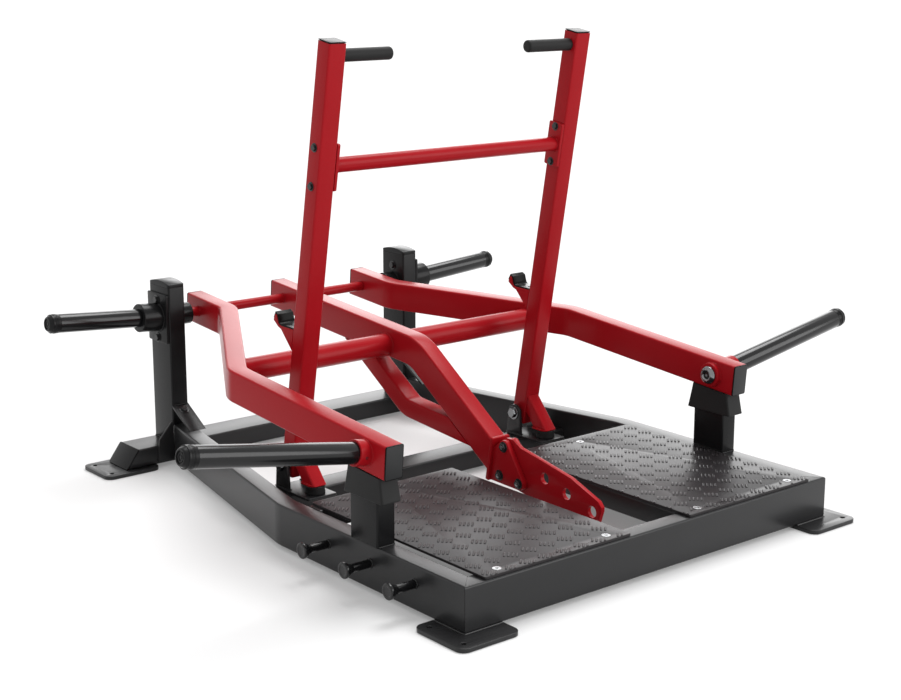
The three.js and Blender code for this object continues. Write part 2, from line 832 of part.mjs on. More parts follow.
function storageFlange(side) {
  const outline = roundedOutline(flangeDepth, flangeTop - flangeBottom, tubeCorner);
  const middle = (flangeTop + flangeBottom) / 2;
  const plate = sidePlate(outline, flangeThickness, side * (flangeFace - flangeThickness / 2));
  plate.translate(0, pivotY, middle);
  const sunk = flangeThickness / 2;
  const straight = rod(sleeveRadius, -sunk, sleeveLength, hornSides);
  const sleeve = aimed(straight, side, storageHornTilt, flangeFace, pivotY, storageZ);
  const bore = drill(hornRadius + seatGap, 0, sleeveLength * 2, hornSides);
  const body = cut(joined(plate, sleeve), aimed(bore, side, storageHornTilt, flangeFace, pivotY, storageZ));
  return joined(body, ...flangeBolts(side));
}

function hornTube(root, length) {
  return ring(hornRadius, hornRadius - hornWall, root, length - hornCapEnd - seatGap, hornSides);
}

function hornCap(length, capLength) {
  const end = length - hornCapEnd;
  const bore = boreRadius(hornRadius + seatGap, hornSides);
  return turned([
    [0, end], [bore, end], [bore, length - capLength], [hornCapRadius, length - capLength],
    [hornCapRadius, length - hornCapRound],
    [hornCapRadius - hornCapRound, length], [hornCapRadius - 2 * hornCapRound, length],
    [hornCapRadius - 2 * hornCapRound, length - hornCapDish], [0, length - hornCapDish],
  ], hornSides);
}

const storageHorn = (side) => aimed(
  hornTube(hornRoot(storageHornTilt), storageHornLength), side, storageHornTilt, flangeFace, pivotY, storageZ);
const storageHornCap = (side) => aimed(
  hornCap(storageHornLength, storageCapLength), side, storageHornTilt, flangeFace, pivotY, storageZ);
pair(machine, "storage_flange", storageFlange, blackPaint);
pair(machine, "storage_horn", storageHorn, blackPaint);
pair(machine, "storage_horn_cap", storageHornCap, plastic);

// Bearings of the lever shaft, in the housings on the inner faces of the posts
function bearing(side) {
  const middle = side * (housingInner + bearingWidth / 2);
  const start = middle - bearingWidth / 2;
  const body = ring(bearingRadius, shaftRadius + seatGap, start, start + bearingWidth, hornSides);
  return alongX(body).translate(0, pivotY, pivotZ);
}

pair(machine, "shaft_bearing", bearing, steel);

// Band pegs on the outer face of one rail
function peg(y) {
  const shank = turned([
    [0, 0], [pegRadius, 0], [pegRadius, pegLength - pegHeadThickness - pegFlareLength],
    [pegHeadRadius, pegLength - pegHeadThickness], [pegHeadRadius, pegLength - edgeSoftening],
    [pegHeadRadius - edgeSoftening, pegLength], [0, pegLength],
  ]);
  const geometry = alongX(shank.translate(0, 0, baseHalfWidth + seatGap));
  return facing(geometry, pegSide).translate(0, y, pegHeight);
}

["front", "middle", "rear"].forEach((place, at) => {
  piece(machine, `left_${place}_band_peg`, peg(pegPlaces[at]), blackPaint);
});

// Lever arms, drawn flat in the lever's own plane
const halfArm = armHeight / 2;
const armSpots = [{ y: 0, z: 0 }, { y: -hornPlace, z: 0 }];

const armOuterFace = armFrontX + tubeWidth / 2;
const frontHornRise = tubeWidth / 2 * Math.tan(rad(frontHornTilt));

function hornCollar(side) {
  const collar = aimed(
    ring(collarRadius, hornRadius + seatGap, -collarLength, collarLength, hornSides),
    side, frontHornTilt, armOuterFace, -hornPlace, frontHornRise);
  const seated = trimmed(collar, point(side * (armOuterFace - weldSink), 0, 0), point(-side, 0, 0));
  const screwHole = rod(collarScrewRadius, 0, collarRadius * 2, 10).rotateX(Math.PI / 2);
  return cut(seated, screwHole.translate(side * (armOuterFace + collarLength / 2), -hornPlace, 0));
}

function hornBoss(side) {
  const start = armOuterFace - tubeWidth - bossThickness;
  const end = start + bossThickness + weldSink;
  const geometry = alongX(ring(bossRadius, hornBoltRadius + seatGap, start, end, hornSides));
  return facing(geometry, side).translate(0, -hornPlace, 0);
}

function pivotCollar(side) {
  const start = armRearX + tubeWidth / 2 - weldSink;
  return facing(alongX(ring(spacerRadius, shaftRadius + seatGap, start, housingInner - seatGap)), side);
}

function arm(side) {
  const corners = [
    point(side * armRearX, armRearOverhang, 0), point(side * armRearX, -armFirstBend, 0),
    point(side * armFrontX, -armSecondBend, 0), point(side * armFrontX, -armFront, 0),
  ];
  const body = bentTube(corners, armBendRadius, zAxis, tubeWidth, armHeight);
  const frontCap = tubeCap(tubeWidth, armHeight).rotateX(Math.PI / 2);
  frontCap.translate(side * armFrontX, -armFront, 0);
  const rearCap = tubeCap(tubeWidth, armHeight).rotateX(-Math.PI / 2);
  rearCap.translate(side * armRearX, armRearOverhang, 0);
  const pivoted = throughX(body, shaftRadius + seatGap, side * armRearX, armSpots.slice(0, 1), roundSides);
  const bored = throughX(pivoted, hornBoltRadius + seatGap, side * armFrontX, armSpots.slice(1), roundSides);
  return joined(bored, frontCap, rearCap, pivotCollar(side), hornBoss(side), hornCollar(side));
}

pair(lever, "arm", arm, redPaint);

// Centre lever, cut square to the tilted end plate, and the lower branch under it
const tipDown = point(0, -Math.cos(rad(endPlateTilt)), -Math.sin(rad(endPlateTilt)));
const tipUp = point(0, -Math.sin(rad(endPlateTilt)), Math.cos(rad(endPlateTilt)));

function centreLever() {
  const past = leverEnd + armHeight;
  const corners = [
    point(0, leverOverhang, 0), point(0, -leverBend, 0), point(0, -past, -(past - leverBend) * leverFallRate),
  ];
  const body = bentTube(corners, leverBendRadius, xAxis, armHeight, tubeWidth);
  const outward = tipDown.clone().applyAxisAngle(xAxis, -rad(leverSlope));
  const place = point(0, tipPlace.y, tipPlace.z).addScaledVector(outward, -seatGap);
  const bored = throughX(trimmed(body, place, outward), shaftRadius + seatGap, 0, armSpots.slice(0, 1));
  const rearCap = tubeCap(tubeWidth, armHeight).rotateX(-Math.PI / 2).translate(0, leverOverhang, 0);
  return joined(bored, rearCap, ...bothSides(shaftSpacer));
}

function shaftSpacer(side) {
  const start = tubeWidth / 2 - weldSink;
  const end = armRearX - tubeWidth / 2 - seatGap;
  return facing(alongX(ring(spacerRadius, shaftRadius + seatGap, start, end)), side);
}

function leverBranch() {
  const slope = (branchDepth - halfArm) / (branchBend - branchStart);
  const corners = [
    point(0, tubeWidth - branchStart, -halfArm + tubeWidth * slope),
    point(0, -branchBend, -branchDepth),
    point(0, -leverEnd, -branchDepth),
  ];
  const body = bentTube(corners, branchRadius, xAxis, tubeWidth, tubeWidth);
  const above = point(0, -Math.sin(rad(leverDrop)), Math.cos(rad(leverDrop)));
  const underLever = point(0, -leverBend, 0).addScaledVector(above, -halfArm - seatGap);
  return trimmed(trimmed(body, point(0, 0, -halfArm - seatGap), zAxis), underLever, above);
}

function crossTube(side) {
  const start = tubeWidth / 2 + seatGap;
  const geometry = alongX(ring(crossTubeRadius, crossTubeRadius - crossTubeWall, start, armFrontX, hornSides));
  const placed = facing(geometry, side).translate(0, -crossTubePlace, -crossTubeDrop);
  const outward = point(side * Math.cos(armSplay), Math.sin(armSplay), 0);
  const face = point(side * armRearX, -armFirstBend, 0).addScaledVector(outward, -tubeWidth / 2 - seatGap);
  return trimmed(placed, face, outward);
}

piece(lever, "centre_lever", centreLever(), redPaint);
piece(lever, "lever_branch", leverBranch(), redPaint);
pair(lever, "cross_tube", crossTube, redPaint);
piece(lever, "pivot_shaft", alongX(rod(shaftRadius, -shaftHalfLength, shaftHalfLength)), steel);

// Front horns in the collars of the arms, bolted through from the inner faces
function hornBolt(side) {
  const seat = armOuterFace - tubeWidth - 2 * seatGap - bossThickness;
  const shank = armOuterFace;
  const geometry = alongX(turned([
    [0, seat - hornBoltHeadHeight], [hornBoltHeadRadius / 2, seat - hornBoltHeadHeight],
    [hornBoltHeadRadius, seat - hornBoltHeadHeight / 3], [hornBoltHeadRadius, seat], [hornBoltRadius, seat],
    [hornBoltRadius, shank], [0, shank],
  ], hornSides));
  return facing(geometry, side).translate(0, -hornPlace, 0);
}

const frontHorn = (side) => aimed(
  hornTube(hornRoot(frontHornTilt), frontHornLength), side, frontHornTilt,
  armOuterFace, -hornPlace, frontHornRise);
const frontHornCap = (side) => aimed(
  hornCap(frontHornLength, frontCapLength), side, frontHornTilt, armOuterFace, -hornPlace, frontHornRise);
pair(lever, "front_horn", frontHorn, blackPaint);
pair(lever, "front_horn_cap", frontHornCap, plastic);
pair(lever, "horn_bolt", hornBolt, steel);

// Lever tip: end plate with two cheeks, and the hitch plate bolted between them
const tipBoltPlaces = [
  { y: -upperTipBolt, z: upperTipBoltRise },
  { y: -lowerTipBolt, z: -lowerTipBoltDrop },
  { y: -frontTipBolt, z: -frontTipBoltDrop },
];

function tipClamp() {
  const plate = new THREE.BoxGeometry(endPlateWidth, endPlateThickness, endPlateAbove + endPlateBelow);
  plate.translate(0, -endPlateThickness / 2, (endPlateAbove - endPlateBelow) / 2).rotateX(rad(endPlateTilt));
  const back = (rise) => {
    const spot = tipDown.clone().multiplyScalar(endPlateThickness / 2).addScaledVector(tipUp, rise);
    return flat(spot.y, spot.z);
  };
  const rounds = tipBoltPlaces.flatMap((spot) => circleOutline(cheekCorner, hornSides, spot.y, spot.z));
  const outline = wrapped([...rounds, back(-endPlateBelow + edgeSoftening), back(cheekCorner)]);
  const offset = tipPlateThickness / 2 + seatGap + cheekThickness / 2;
  const cheeks = bothSides((side) => sidePlate(outline, cheekThickness, side * offset));
  return joined(plate, ...cheeks, ...tipBolts());
}

function tipPlate() {
  const bottom = tipPlateTop - tipPlateHeight;
  const spot = ([along, up]) => flat(-along * tipPlateReach, bottom + up * tipPlateHeight);
  const bolts = tipBoltPlaces.map(({ y, z }) => boreOutline(boltRadius + holeClearance / 2, boltSides, y, z));
  const holes = tipHoleShares.map(spot).map(({ x, y }) => boreOutline(tipHoleRadius, hornSides, x, y));
  return sidePlate(tipOutlineShares.map(spot), tipPlateThickness, 0, [...bolts, ...holes]);
}

function tipBolts() {
  const face = tipPlateThickness / 2 + seatGap + cheekThickness;
  return tipBoltPlaces.flatMap(({ y, z }) => [
    alongX(rod(boltRadius, -face, face, boltSides)).translate(0, y, z),
    alongX(rod(boltHeadRadius, face - weldSink, face + boltHeadHeight, 6)).translate(0, y, z),
    alongX(rod(boltHeadRadius, -face - boltHeadHeight, weldSink - face, 6)).translate(0, y, z),
  ]);
}

piece(tip, "tip_clamp", tipClamp(), redPaint);
piece(tip, "tip_plate", tipPlate(), redPaint);

// Handle frame: uprights, cross bar between flanges, grips
const barBoltHeights = [-1, 1].map((end) => crossBarHeight + end * barBoltSpacing / 2);
const barBoltSpots = barBoltHeights.map((z) => ({ y: 0, z }));
const flangeInner = uprightInner - seatGap - barFlangeThickness;

function upright(side) {
  const body = tubeAlongZ(-uprightBelow, uprightAbove, tubeWidth, tubeWidth).translate(side * uprightX, 0, 0);
  const pivoted = throughX(body, frameBoltRadius + seatGap, side * uprightX, [{ y: 0, z: 0 }]);
  const drilled = throughX(pivoted, barBoltRadius + holeClearance / 2, side * uprightX, barBoltSpots);
  const cap = tubeCap(tubeWidth, tubeWidth).translate(side * uprightX, 0, uprightAbove);
  const core = inward(rod(gripCoreRadius, -weldSink, gripLength - gripEnd - seatGap), side);
  return joined(drilled, cap, core, hook(side), hookPad(side));
}

function crossBar() {
  const end = flangeInner + weldSink;
  const bore = crossBarRadius - crossBarWall;
  const bar = alongX(ring(crossBarRadius, bore, -end, end, hornSides)).translate(0, 0, crossBarHeight);
  const flanges = bothSides((side) => {
    const plate = sidePlate(roundedOutline(tubeWidth, barFlangeHeight), barFlangeThickness, 0);
    return plate.translate(side * (flangeInner + barFlangeThickness / 2), 0, crossBarHeight);
  });
  const bolts = bothSides((side) => barBoltHeights.flatMap((z) => {
    const headSeat = uprightInner + tubeWidth + seatGap;
    const shank = rod(barBoltRadius, flangeInner, headSeat + weldSink, boltSides);
    const head = rod(barBoltHeadRadius, headSeat, headSeat + barBoltHeadHeight, 6);
    const tightened = rod(barBoltHeadRadius, flangeInner - barBoltHeadHeight, flangeInner + weldSink, 6);
    return [shank, head, tightened].map((part) => facing(alongX(part), side).translate(0, 0, z));
  })).flat();
  const vent = alongX(rod(weldVentRadius, -uprightInner, uprightInner, boltSides));
  vent.translate(0, 0, crossBarHeight);
  return cut(joined(bar, ...flanges, ...bolts), vent);
}

function inward(geometry, side) {
  const turnedIn = geometry.rotateY(-side * Math.PI / 2);
  return turnedIn.translate(side * uprightInner, 0, gripHeight);
}

function grip() {
  const end = gripLength - gripEnd;
  const bore = boreRadius(gripCoreRadius + seatGap, hornSides);
  return turned([
    [0, end], [bore, end], [bore, seatGap], [gripRadius, seatGap], [gripRadius, gripLength - gripEnd / 2],
    [gripRadius - gripEnd / 4, gripLength - gripEnd / 8], [gripRadius - gripEnd / 2, gripLength], [0, gripLength],
  ], hornSides);
}

// Hooks that catch the cross tubes when the frame leans back, with a liner on each seat
const hookSpot = ([back, up]) => flat(tubeWidth / 2 - weldSink + back * hookReach, hookFoot + up * hookHeight);

function offsetLine(line, distance) {
  return line.map((spot, at) => {
    const before = at > 0 ? spot.clone().sub(line[at - 1]).normalize() : null;
    const after = at < line.length - 1 ? line[at + 1].clone().sub(spot).normalize() : null;
    const first = before ?? after;
    const second = after ?? before;
    const normal = flat(-first.y - second.y, first.x + second.x).normalize();
    const reach = distance / (normal.x * -first.y + normal.y * first.x);
    return spot.clone().addScaledVector(normal, reach);
  });
}

function hook(side) {
  return sidePlate(hookOutlineShares.map(hookSpot), tubeWidth, side * uprightX);
}

function hookPad(side) {
  const seat = hookSeatShares.map(hookSpot);
  const outline = [...offsetLine(seat, -weldSink), ...offsetLine(seat, hookPadThickness).reverse()];
  return sidePlate(outline, tubeWidth - 2 * edgeSoftening, side * uprightX);
}

pair(handleFrame, "upright", upright, redPaint);
piece(handleFrame, "cross_bar", crossBar(), redPaint);
pair(handleFrame, "grip", (side) => inward(grip(), side), rubber);

// Brace and foot of each upright, level when the frame rests on its bumpers
const bumperPlateBottom = lowBeamTop + 2 * seatGap;
const bumperBottom = bumperPlateBottom + bumperPlateThickness + seatGap;
const braceFootBottom = bumperBottom + bumperHeight + seatGap - framePivotZ;
const braceFootTop = braceFootBottom + braceFootThickness;

function brace(side) {
  const slope = rad(braceSlope);
  const way = point(0, -Math.cos(slope), -Math.sin(slope));
  const below = point(0, Math.sin(slope), -Math.cos(slope));
  const faceY = -(tubeWidth / 2 + braceTop * Math.sin(rad(frameLean))) / Math.cos(rad(frameLean));
  const middle = point(side * uprightX, faceY, braceTop).addScaledVector(below, braceWidth / 2);
  const corners = [
    middle.clone().addScaledVector(way, -uprightBelow * 2),
    middle.clone().addScaledVector(way, (braceTop - braceFootBottom) / Math.sin(slope) + braceWidth),
  ];
  const tube = bentTube(corners, 0, xAxis, braceWidth, braceWidth);
  const toUpright = point(0, Math.cos(rad(frameLean)), Math.sin(rad(frameLean)));
  const face = toUpright.clone().multiplyScalar(-tubeWidth / 2 - seatGap);
  const fitted = trimmed(tube, face, toUpright);
  const footOutline = roundedOutline(braceFootWidth, braceFootDepth, braceFootCorner, 4);
  const foot = extruded(footOutline, braceFootThickness);
  foot.translate(side * uprightX, -bumperSetback + braceFootShift, braceFootBottom);
  return joined(trimmed(fitted, point(0, 0, braceFootTop - braceFootThickness / 2), point(0, 0, -1)), foot);
}

pair(frameFoot, "brace", brace, redPaint);

// Brackets on the mid beam: two ears, bushes and a bolt at each upright, and the bumper plate
const earCentres = [uprightInner - earGap - earThickness / 2, uprightInner + tubeWidth + earGap + earThickness / 2];
const earBottom = lowBeamTop + 2 * seatGap - framePivotZ;

function bracket(side) {
  const ears = earCentres.map((x) => {
    const base = [flat(-earWidth / 2, earBottom), flat(earWidth / 2, earBottom)];
    const outline = wrapped([...circleOutline(earTop, hornSides), ...base]);
    const plate = sidePlate(outline, earThickness, side * x, [boreOutline(frameBoltRadius + seatGap, roundSides)]);
    return plate.translate(0, framePivotY, framePivotZ);
  });
  const rear = framePivotY + earWidth / 2;
  const front = framePivotY - earWidth / 2 - bumperPlateDepth;
  const width = earCentres[1] - earCentres[0] + earThickness + 2 * bracketMargin;
  const base = extruded(roundedOutline(width, rear - front), bumperPlateThickness);
  base.translate(side * (earCentres[0] + earCentres[1]) / 2, (rear + front) / 2, bumperPlateBottom);
  return joined(base, ...ears);
}

function frameBolt(side) {
  const gap = seatGap;
  const washerSeat = earCentres[0] - earThickness / 2 - gap;
  const nutSeat = earCentres[1] + earThickness / 2 + gap;
  const headSeat = washerSeat - frameWasherThickness;
  const parts = [
    rod(frameBoltRadius, headSeat, nutSeat + weldSink),
    rod(frameWasherRadius, headSeat, washerSeat, hornSides),
    rod(frameBoltHeadRadius, headSeat - frameBoltHeadHeight, headSeat + weldSink, 6),
    rod(frameBoltHeadRadius, nutSeat, nutSeat + frameNutHeight, 6),
    rod(frameBushRadius, uprightInner - earGap + gap, uprightInner - gap),
    rod(frameBushRadius, uprightInner + tubeWidth + gap, uprightInner + tubeWidth + earGap - gap),
  ];
  return facing(alongX(joined(...parts)), side).translate(0, framePivotY, framePivotZ);
}

function bumper(side) {
  const body = turned([
    [0, 0], [bumperRadius, 0], [bumperRadius, bumperHeight - edgeSoftening],
    [bumperRadius - edgeSoftening, bumperHeight], [0, bumperHeight],
  ], hornSides);
  return body.translate(side * uprightX, framePivotY - bumperSetback, bumperBottom);
}

pair(machine, "frame_bracket", bracket, blackPaint);
pair(machine, "frame_pivot_bolt", frameBolt, steel);
pair(machine, "bumper", bumper, rubber);

export default machine;
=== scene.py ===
"""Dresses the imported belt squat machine: visible pieces, materials, studio light and camera."""
from math import atan, atan2, copysign, cos, hypot, pi, radians, sin, sqrt, tan

import bmesh
import bpy
from mathutils import Matrix, Vector


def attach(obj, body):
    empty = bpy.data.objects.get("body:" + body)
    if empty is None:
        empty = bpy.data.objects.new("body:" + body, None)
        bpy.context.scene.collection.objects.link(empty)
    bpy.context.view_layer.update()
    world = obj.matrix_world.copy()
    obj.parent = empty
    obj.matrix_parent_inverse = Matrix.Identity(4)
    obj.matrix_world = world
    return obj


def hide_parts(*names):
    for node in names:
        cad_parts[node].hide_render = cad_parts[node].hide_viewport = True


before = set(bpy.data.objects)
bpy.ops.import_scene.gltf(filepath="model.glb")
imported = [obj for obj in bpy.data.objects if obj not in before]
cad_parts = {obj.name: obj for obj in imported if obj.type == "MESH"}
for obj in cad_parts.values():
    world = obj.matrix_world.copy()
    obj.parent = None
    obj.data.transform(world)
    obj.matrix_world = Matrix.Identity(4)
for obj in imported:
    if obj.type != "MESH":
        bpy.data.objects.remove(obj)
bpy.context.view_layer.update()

# Lengths are millimetres in the maker's frame: X across, -Y to the lifter's front, Z up from the floor.
MM = 0.001
SEAT = 0.3
TUBE = 50
WALL = 3
OPEN_DEPTH = 40
CORNER = 5
SINK = 1.5
LIP = 0.8
EDGE = 0.5
SMOOTH_ANGLE = 38

# Sides of round bodies
HORN_SIDES = 64
GRIP_SIDES = 56
TURNED_SIDES = 48
CAP_SIDES = 40
BOLT_SIDES = 32
SPACER_SIDES = 28
HOLE_SIDES = 24
SCREW_SIDES = 20

# Weld beads
BEAD = 2.2
BEAD_LARGE = 2.6
BEAD_BROAD = 2.4
BEAD_SMALL = 2.0
BEAD_EAR = 1.9
BEAD_THIN = 1.8
BEAD_OFF = 0.6
BEAD_LIFT = 0.4
BEAD_RIPPLE = 5.5
BEAD_SIDES = 8
BEAD_WAIST = 0.8

# Base
BASE_HALF = 590
FOOT_THICK = 10
BEAM_HEIGHT = 104
LOW_HEIGHT = 52
REAR_FRONT = 1454
REAR_DEPTH = 104
REAR_SLANT = 39
REAR_HALF = 580
RAIL_BEND = 700
RAIL_RADIUS = 150
MID_FRONT = 865
MID_DEPTH = 82
END_PLATE = 3
FOOT_WIDTH = 165
FOOT_CORNER = 22
FOOT_HOLE = 6
FOOT_HOLE_INSET = 26
FOOT_LIP = 1.2
FRONT_FOOT_OUT = 57
FRONT_FOOT_START = -60
FRONT_FOOT_DEPTH = 165
FOOT_BEAD = ((-104, -BEAD_OFF), (-1, -BEAD_OFF), (BEAD_OFF, 4), (BEAD_OFF, 100))
REAR_FOOT_OUT = 72
REAR_FOOT_PAST = 23
REAR_FOOT_DEPTH = 149
WING_REACH = 52
WING_HEIGHT = 107
WING_THICK = 4
WING_LIFT = 7
WING_LIP = 0.7
WING_SHARES = ((0, 0), (1, 0), (0.88, 0.58), (0.12, 1), (0, 1))

# Platforms
PLATFORM_INNER = 97
PLATFORM_OUTER = 530
PLATFORM_FRONT = 3.7
PLATFORM_REAR = 640
PLATFORM_THICK = 6.2
PLATFORM_LIP = 0.7
SEAM_REACH = 22
SEAM_OFF = 0.5
SCREW_INSET = 54
SCREW_FRONT = 26.3
SCREW_REAR = 41
SCREW_HOLE = 7.2
SCREW_PROFILE = (
    (0, -22.2), (5, -22.2), (5, -3), (7, -0.9), (10.6, -0.1), (10.6, 0.5), (4, 0.7), (3.4, -2.2), (0, -2.4),
)
TREAD_PITCH = 53.5
TREAD_BAR = 9.4
TREAD_LENGTH = 26
TREAD_WIDTH = 5.8
TREAD_RISE = 1.6
TREAD_GROUP = 4
TREAD_CLEAR = 19
TREAD_OVERRUN = 8
TREAD_EDGE = 1.4
TREAD_ROUND = 6
TREAD_REACH = 12
TREAD_STEPS = ((0, -0.4), (0.25, 0.3), (0.8, 0.62), (1.6, 0.88), (2.4, 1.0))
TREAD_START = {"left": (-400, 339), "right": (301, 342)}

# Stands and band pegs
STAND_FRONT = 300
STAND_DEPTH = 102.5
STAND_TOP = 224
CAP_FLARE = 21
CAP_SKIRT = 5
CAP_WALL = 2.5
CAP_SOFT = 0.8
CAP_BEND = 0.9
CAP_SHOULDER = (-0.5, -1.2, 0.4)
CAP_SLANT = ((1, 20, -8), (0, 14, 10))
STAND_SEAM = (TUBE - 4, STAND_DEPTH + 1)
PEG_PLACES = (("front", 168), ("middle", 329), ("rear", 490))
PEG_HEIGHT = 72
PEG = 10
PEG_PROFILE = (
    (0, 0), (PEG, 0), (PEG, 50), (12.5, 58), (17.5, 66.5), (19, 69), (19, 73.5), (17.5, 75), (12, 75),
    (11, 74.2), (0, 74.2),
)

# Rear posts
POST_INNER = 382
POST_TOP = 501
GUSSET_HEIGHT = 54
GUSSET_RUN = 92
GUSSET_THICK = 6
GUSSET_BOLT_SHARE = 0.8
POST_SEAM = (TUBE + 1, REAR_DEPTH - 4)
CROWN_EDGE = 8
CROWN_RISE = 8
CROWN_SOFT = 1.6
CROWN_BEND = 0.3
CROWN_ENDS = (-1, -0.994, -0.98, -0.96, -0.93)
CROWN_MIDDLE = tuple(at / 10 for at in range(-8, 9, 2))
CROWN_SHARES = CROWN_ENDS + CROWN_MIDDLE + tuple(-share for share in CROWN_ENDS[::-1])
CROWN_ANGLE = 30
NECK_INSET = 7
NECK_CORNER = 2.5
NECK_DEPTH = 10

# Pivot of the lever
PIVOT_Y = 1506
PIVOT_Z = 413.3
LEVER_SLOPE = 4.55
SHAFT = 10
SHAFT_HALF = 375
SHAFT_CHAMFER = 1.5
BEARING = 20
BEARING_WIDTH = 22
BEARING_RINGS = ((16.4, BEARING, 11, 0.6), (14.0, 16.2, 9.6, 0.3), (SHAFT + SEAT, 13.8, 11, 0.6))
HOUSING = 30
HOUSING_LENGTH = 40
SPACER = 13.8

# Weight horns and storage flanges
FLANGE_THICK = 7.7
FLANGE_DEPTH = 100
FLANGE_BOTTOM = 345
FLANGE_TOP = 482
FLANGE_BOLTS = (357, 463)
SLEEVE = 39
SLEEVE_LENGTH = 59
STORAGE_TILT = 4.46
STORAGE_RISE = 1
STORAGE_LENGTH = 332
HORN = 25
HORN_WALL = 4
HORN_CAP = 26.5
HORN_CAP_SKIRT = 32
HORN_CAP_COVER = 9
CAP_RINGS = 4
CAP_RING_PITCH = 3
CAP_RING_TAPER = 0.3
CAP_RING_GROOVE = ((0, -0.8), (-0.9, -0.4), (-0.9, 0.4), (0, 0.8))
HORN_CAP_LIP = ((-1.4, 0), (-1.2, 0.6))
HORN_CAP_SHOULDER = ((0, -18), (-0.9, -14.5), (-6.3, -3.2), (-7.8, -0.8), (-9.2, 0))
HORN_CAP_FACE = (
    (15.2, 0), (14.4, -0.8), (14.0, -3.6), (11.0, -3.8), (10.4, -1.8), (8.2, -1.6), (7.6, -3.6),
    (4.2, -3.8), (3.6, -2.4), (0, -2.2),
)

# Lever arms
ARM_HEIGHT = 80
ARM_REAR_X = 286
ARM_REAR = 55
ARM_BEND_1 = 122
ARM_BEND_2 = 604
ARM_FRONT = 1237
ARM_RADIUS = 80
HORN_PLACE = 1166
FRONT_TILT = 10
FRONT_LENGTH = 475
COLLAR = 30
COLLAR_LENGTH = 32
BOSS = 31
BOSS_BORE = 10.3
BOSS_THICK = 12
HORN_BOLT = 10
HORN_BOLT_HEAD = 23.5
HORN_BOLT_HEIGHT = 12
HORN_BOLT_PROFILE = (
    (0, -5), (8.5, -5), (9.5, -9.5), (12.5, -11.5), (16, -HORN_BOLT_HEIGHT), (20.5, -8.5),
    (HORN_BOLT_HEAD, -4), (HORN_BOLT_HEAD, 0), (HORN_BOLT, 0),
)
HORN_HEX = 4.2
HORN_HEX_HEIGHT = 3.4
HORN_HEX_LEVEL = -5
HORN_SOCKET = (8.3, 4.6, -7.4, -5.2)
COLLAR_SCREW = ((0, -4), (3.4, -4), (3.4, 0.25), (1.9, 0.3), (1.7, -1.6), (0, -1.8))
PLUG_THICK = 4
PLUG_NECK = 3
PLUG_HEAD = 2.3
PLUG_JOINT = 3
PLUG_RIM = 1.8
PLUG_STEP = 0.4
PLUG_LIPS = ((0.2, 0.2), (0.3, 0.9), (0.1, 0.3))

# Centre lever
LEVER_REAR = 58
LEVER_BEND = 616.5
LEVER_DROP = 29.3
LEVER_RADIUS = 130
LEVER_END = 945.3
BRANCH_START = 362
BRANCH_BEND = 592.6
BRANCH_DEPTH = 161.5
BRANCH_RADIUS = 70
CROSS_PLACE = 503
CROSS_DROP = 8
CROSS = 30

# Lever tip. Shares are parts of the hitch plate's reach and height.
END_TILT = 9.87
END_WIDTH = 57
END_THICK = 9
END_ABOVE = 50
END_BELOW = 67
END_CORNER = 4
CHEEK_THICK = 15
CHEEK_CORNER = 17
TIP_THICK = 12
TIP_REACH = 385.5
TIP_HEIGHT = 144
TIP_TOP = 52
TIP_HOLE = 14.5
TIP_BOLTS = ((-49.6, 31.6), (-35.3, -45.4), (-107.3, -50.7))
TIP_SHARES = (
    (0.032, 0.208), (0.068, 0.93), (0.112, 0.993), (0.18, 1), (0.247, 0.896), (0.439, 0.806),
    (0.719, 0.667), (0.971, 0.42), (1, 0.333), (1, 0.264), (0.968, 0), (0.289, 0.09),
)
TIP_HOLES = ((0.483, 0.5), (0.686, 0.361), (0.917, 0.208))

# Handle frame
FRAME_Y = 909
FRAME_Z = 128
FRAME_LEAN = 10.13
UPRIGHT_INNER = 368.5
UPRIGHT_BELOW = 28
UPRIGHT_ABOVE = 1085
GRIP_HEIGHT = 1051.6
GRIP = 16
GRIP_LENGTH = 150
GRIP_ROOT = ((0, SEAT), (GRIP - 0.6, SEAT), (GRIP, 3))
GRIP_END = ((0, -6), (-1, -2.5), (-4, -0.4), (-8, 0))
BAR_HEIGHT = 784
BAR = 19
BAR_FLANGE = 118
BAR_FLANGE_THICK = 8
BAR_BOLTS = (736, 832)
BRACE = 40
BRACE_SLOPE = 49
BRACE_TOP = 53
BRACE_FOOT_DEPTH = 60
BRACE_FOOT_WIDTH = 51
BRACE_FOOT_THICK = 5
BRACE_FOOT_SHIFT = 8
BRACE_FOOT_CORNER = 16
HOOK_FOOT = 303.5
HOOK_REACH = 88.7
HOOK_HEIGHT = 69.5
HOOK_LINER = 4
HOOK_SOFT = ((0.6, 0.67), (0.69, 0.675), (0.75, 0.715), (0.79, 0.80), (0.86, 0.97), (0.93, 1))
HOOK_SHARES = ((0, 0), (0.594, 0.55), (0.74, 0.58), (1, 0.74), *HOOK_SOFT[::-1], (0, 0.8))
HOOK_SEAT = ((0, 0.8), *HOOK_SOFT, (0.985, 0.8))
LINER_INSET = 3
LINER_SCREW_SHARE = 0.42
LINER_SCREW = (6.5, -0.5, 2.6)

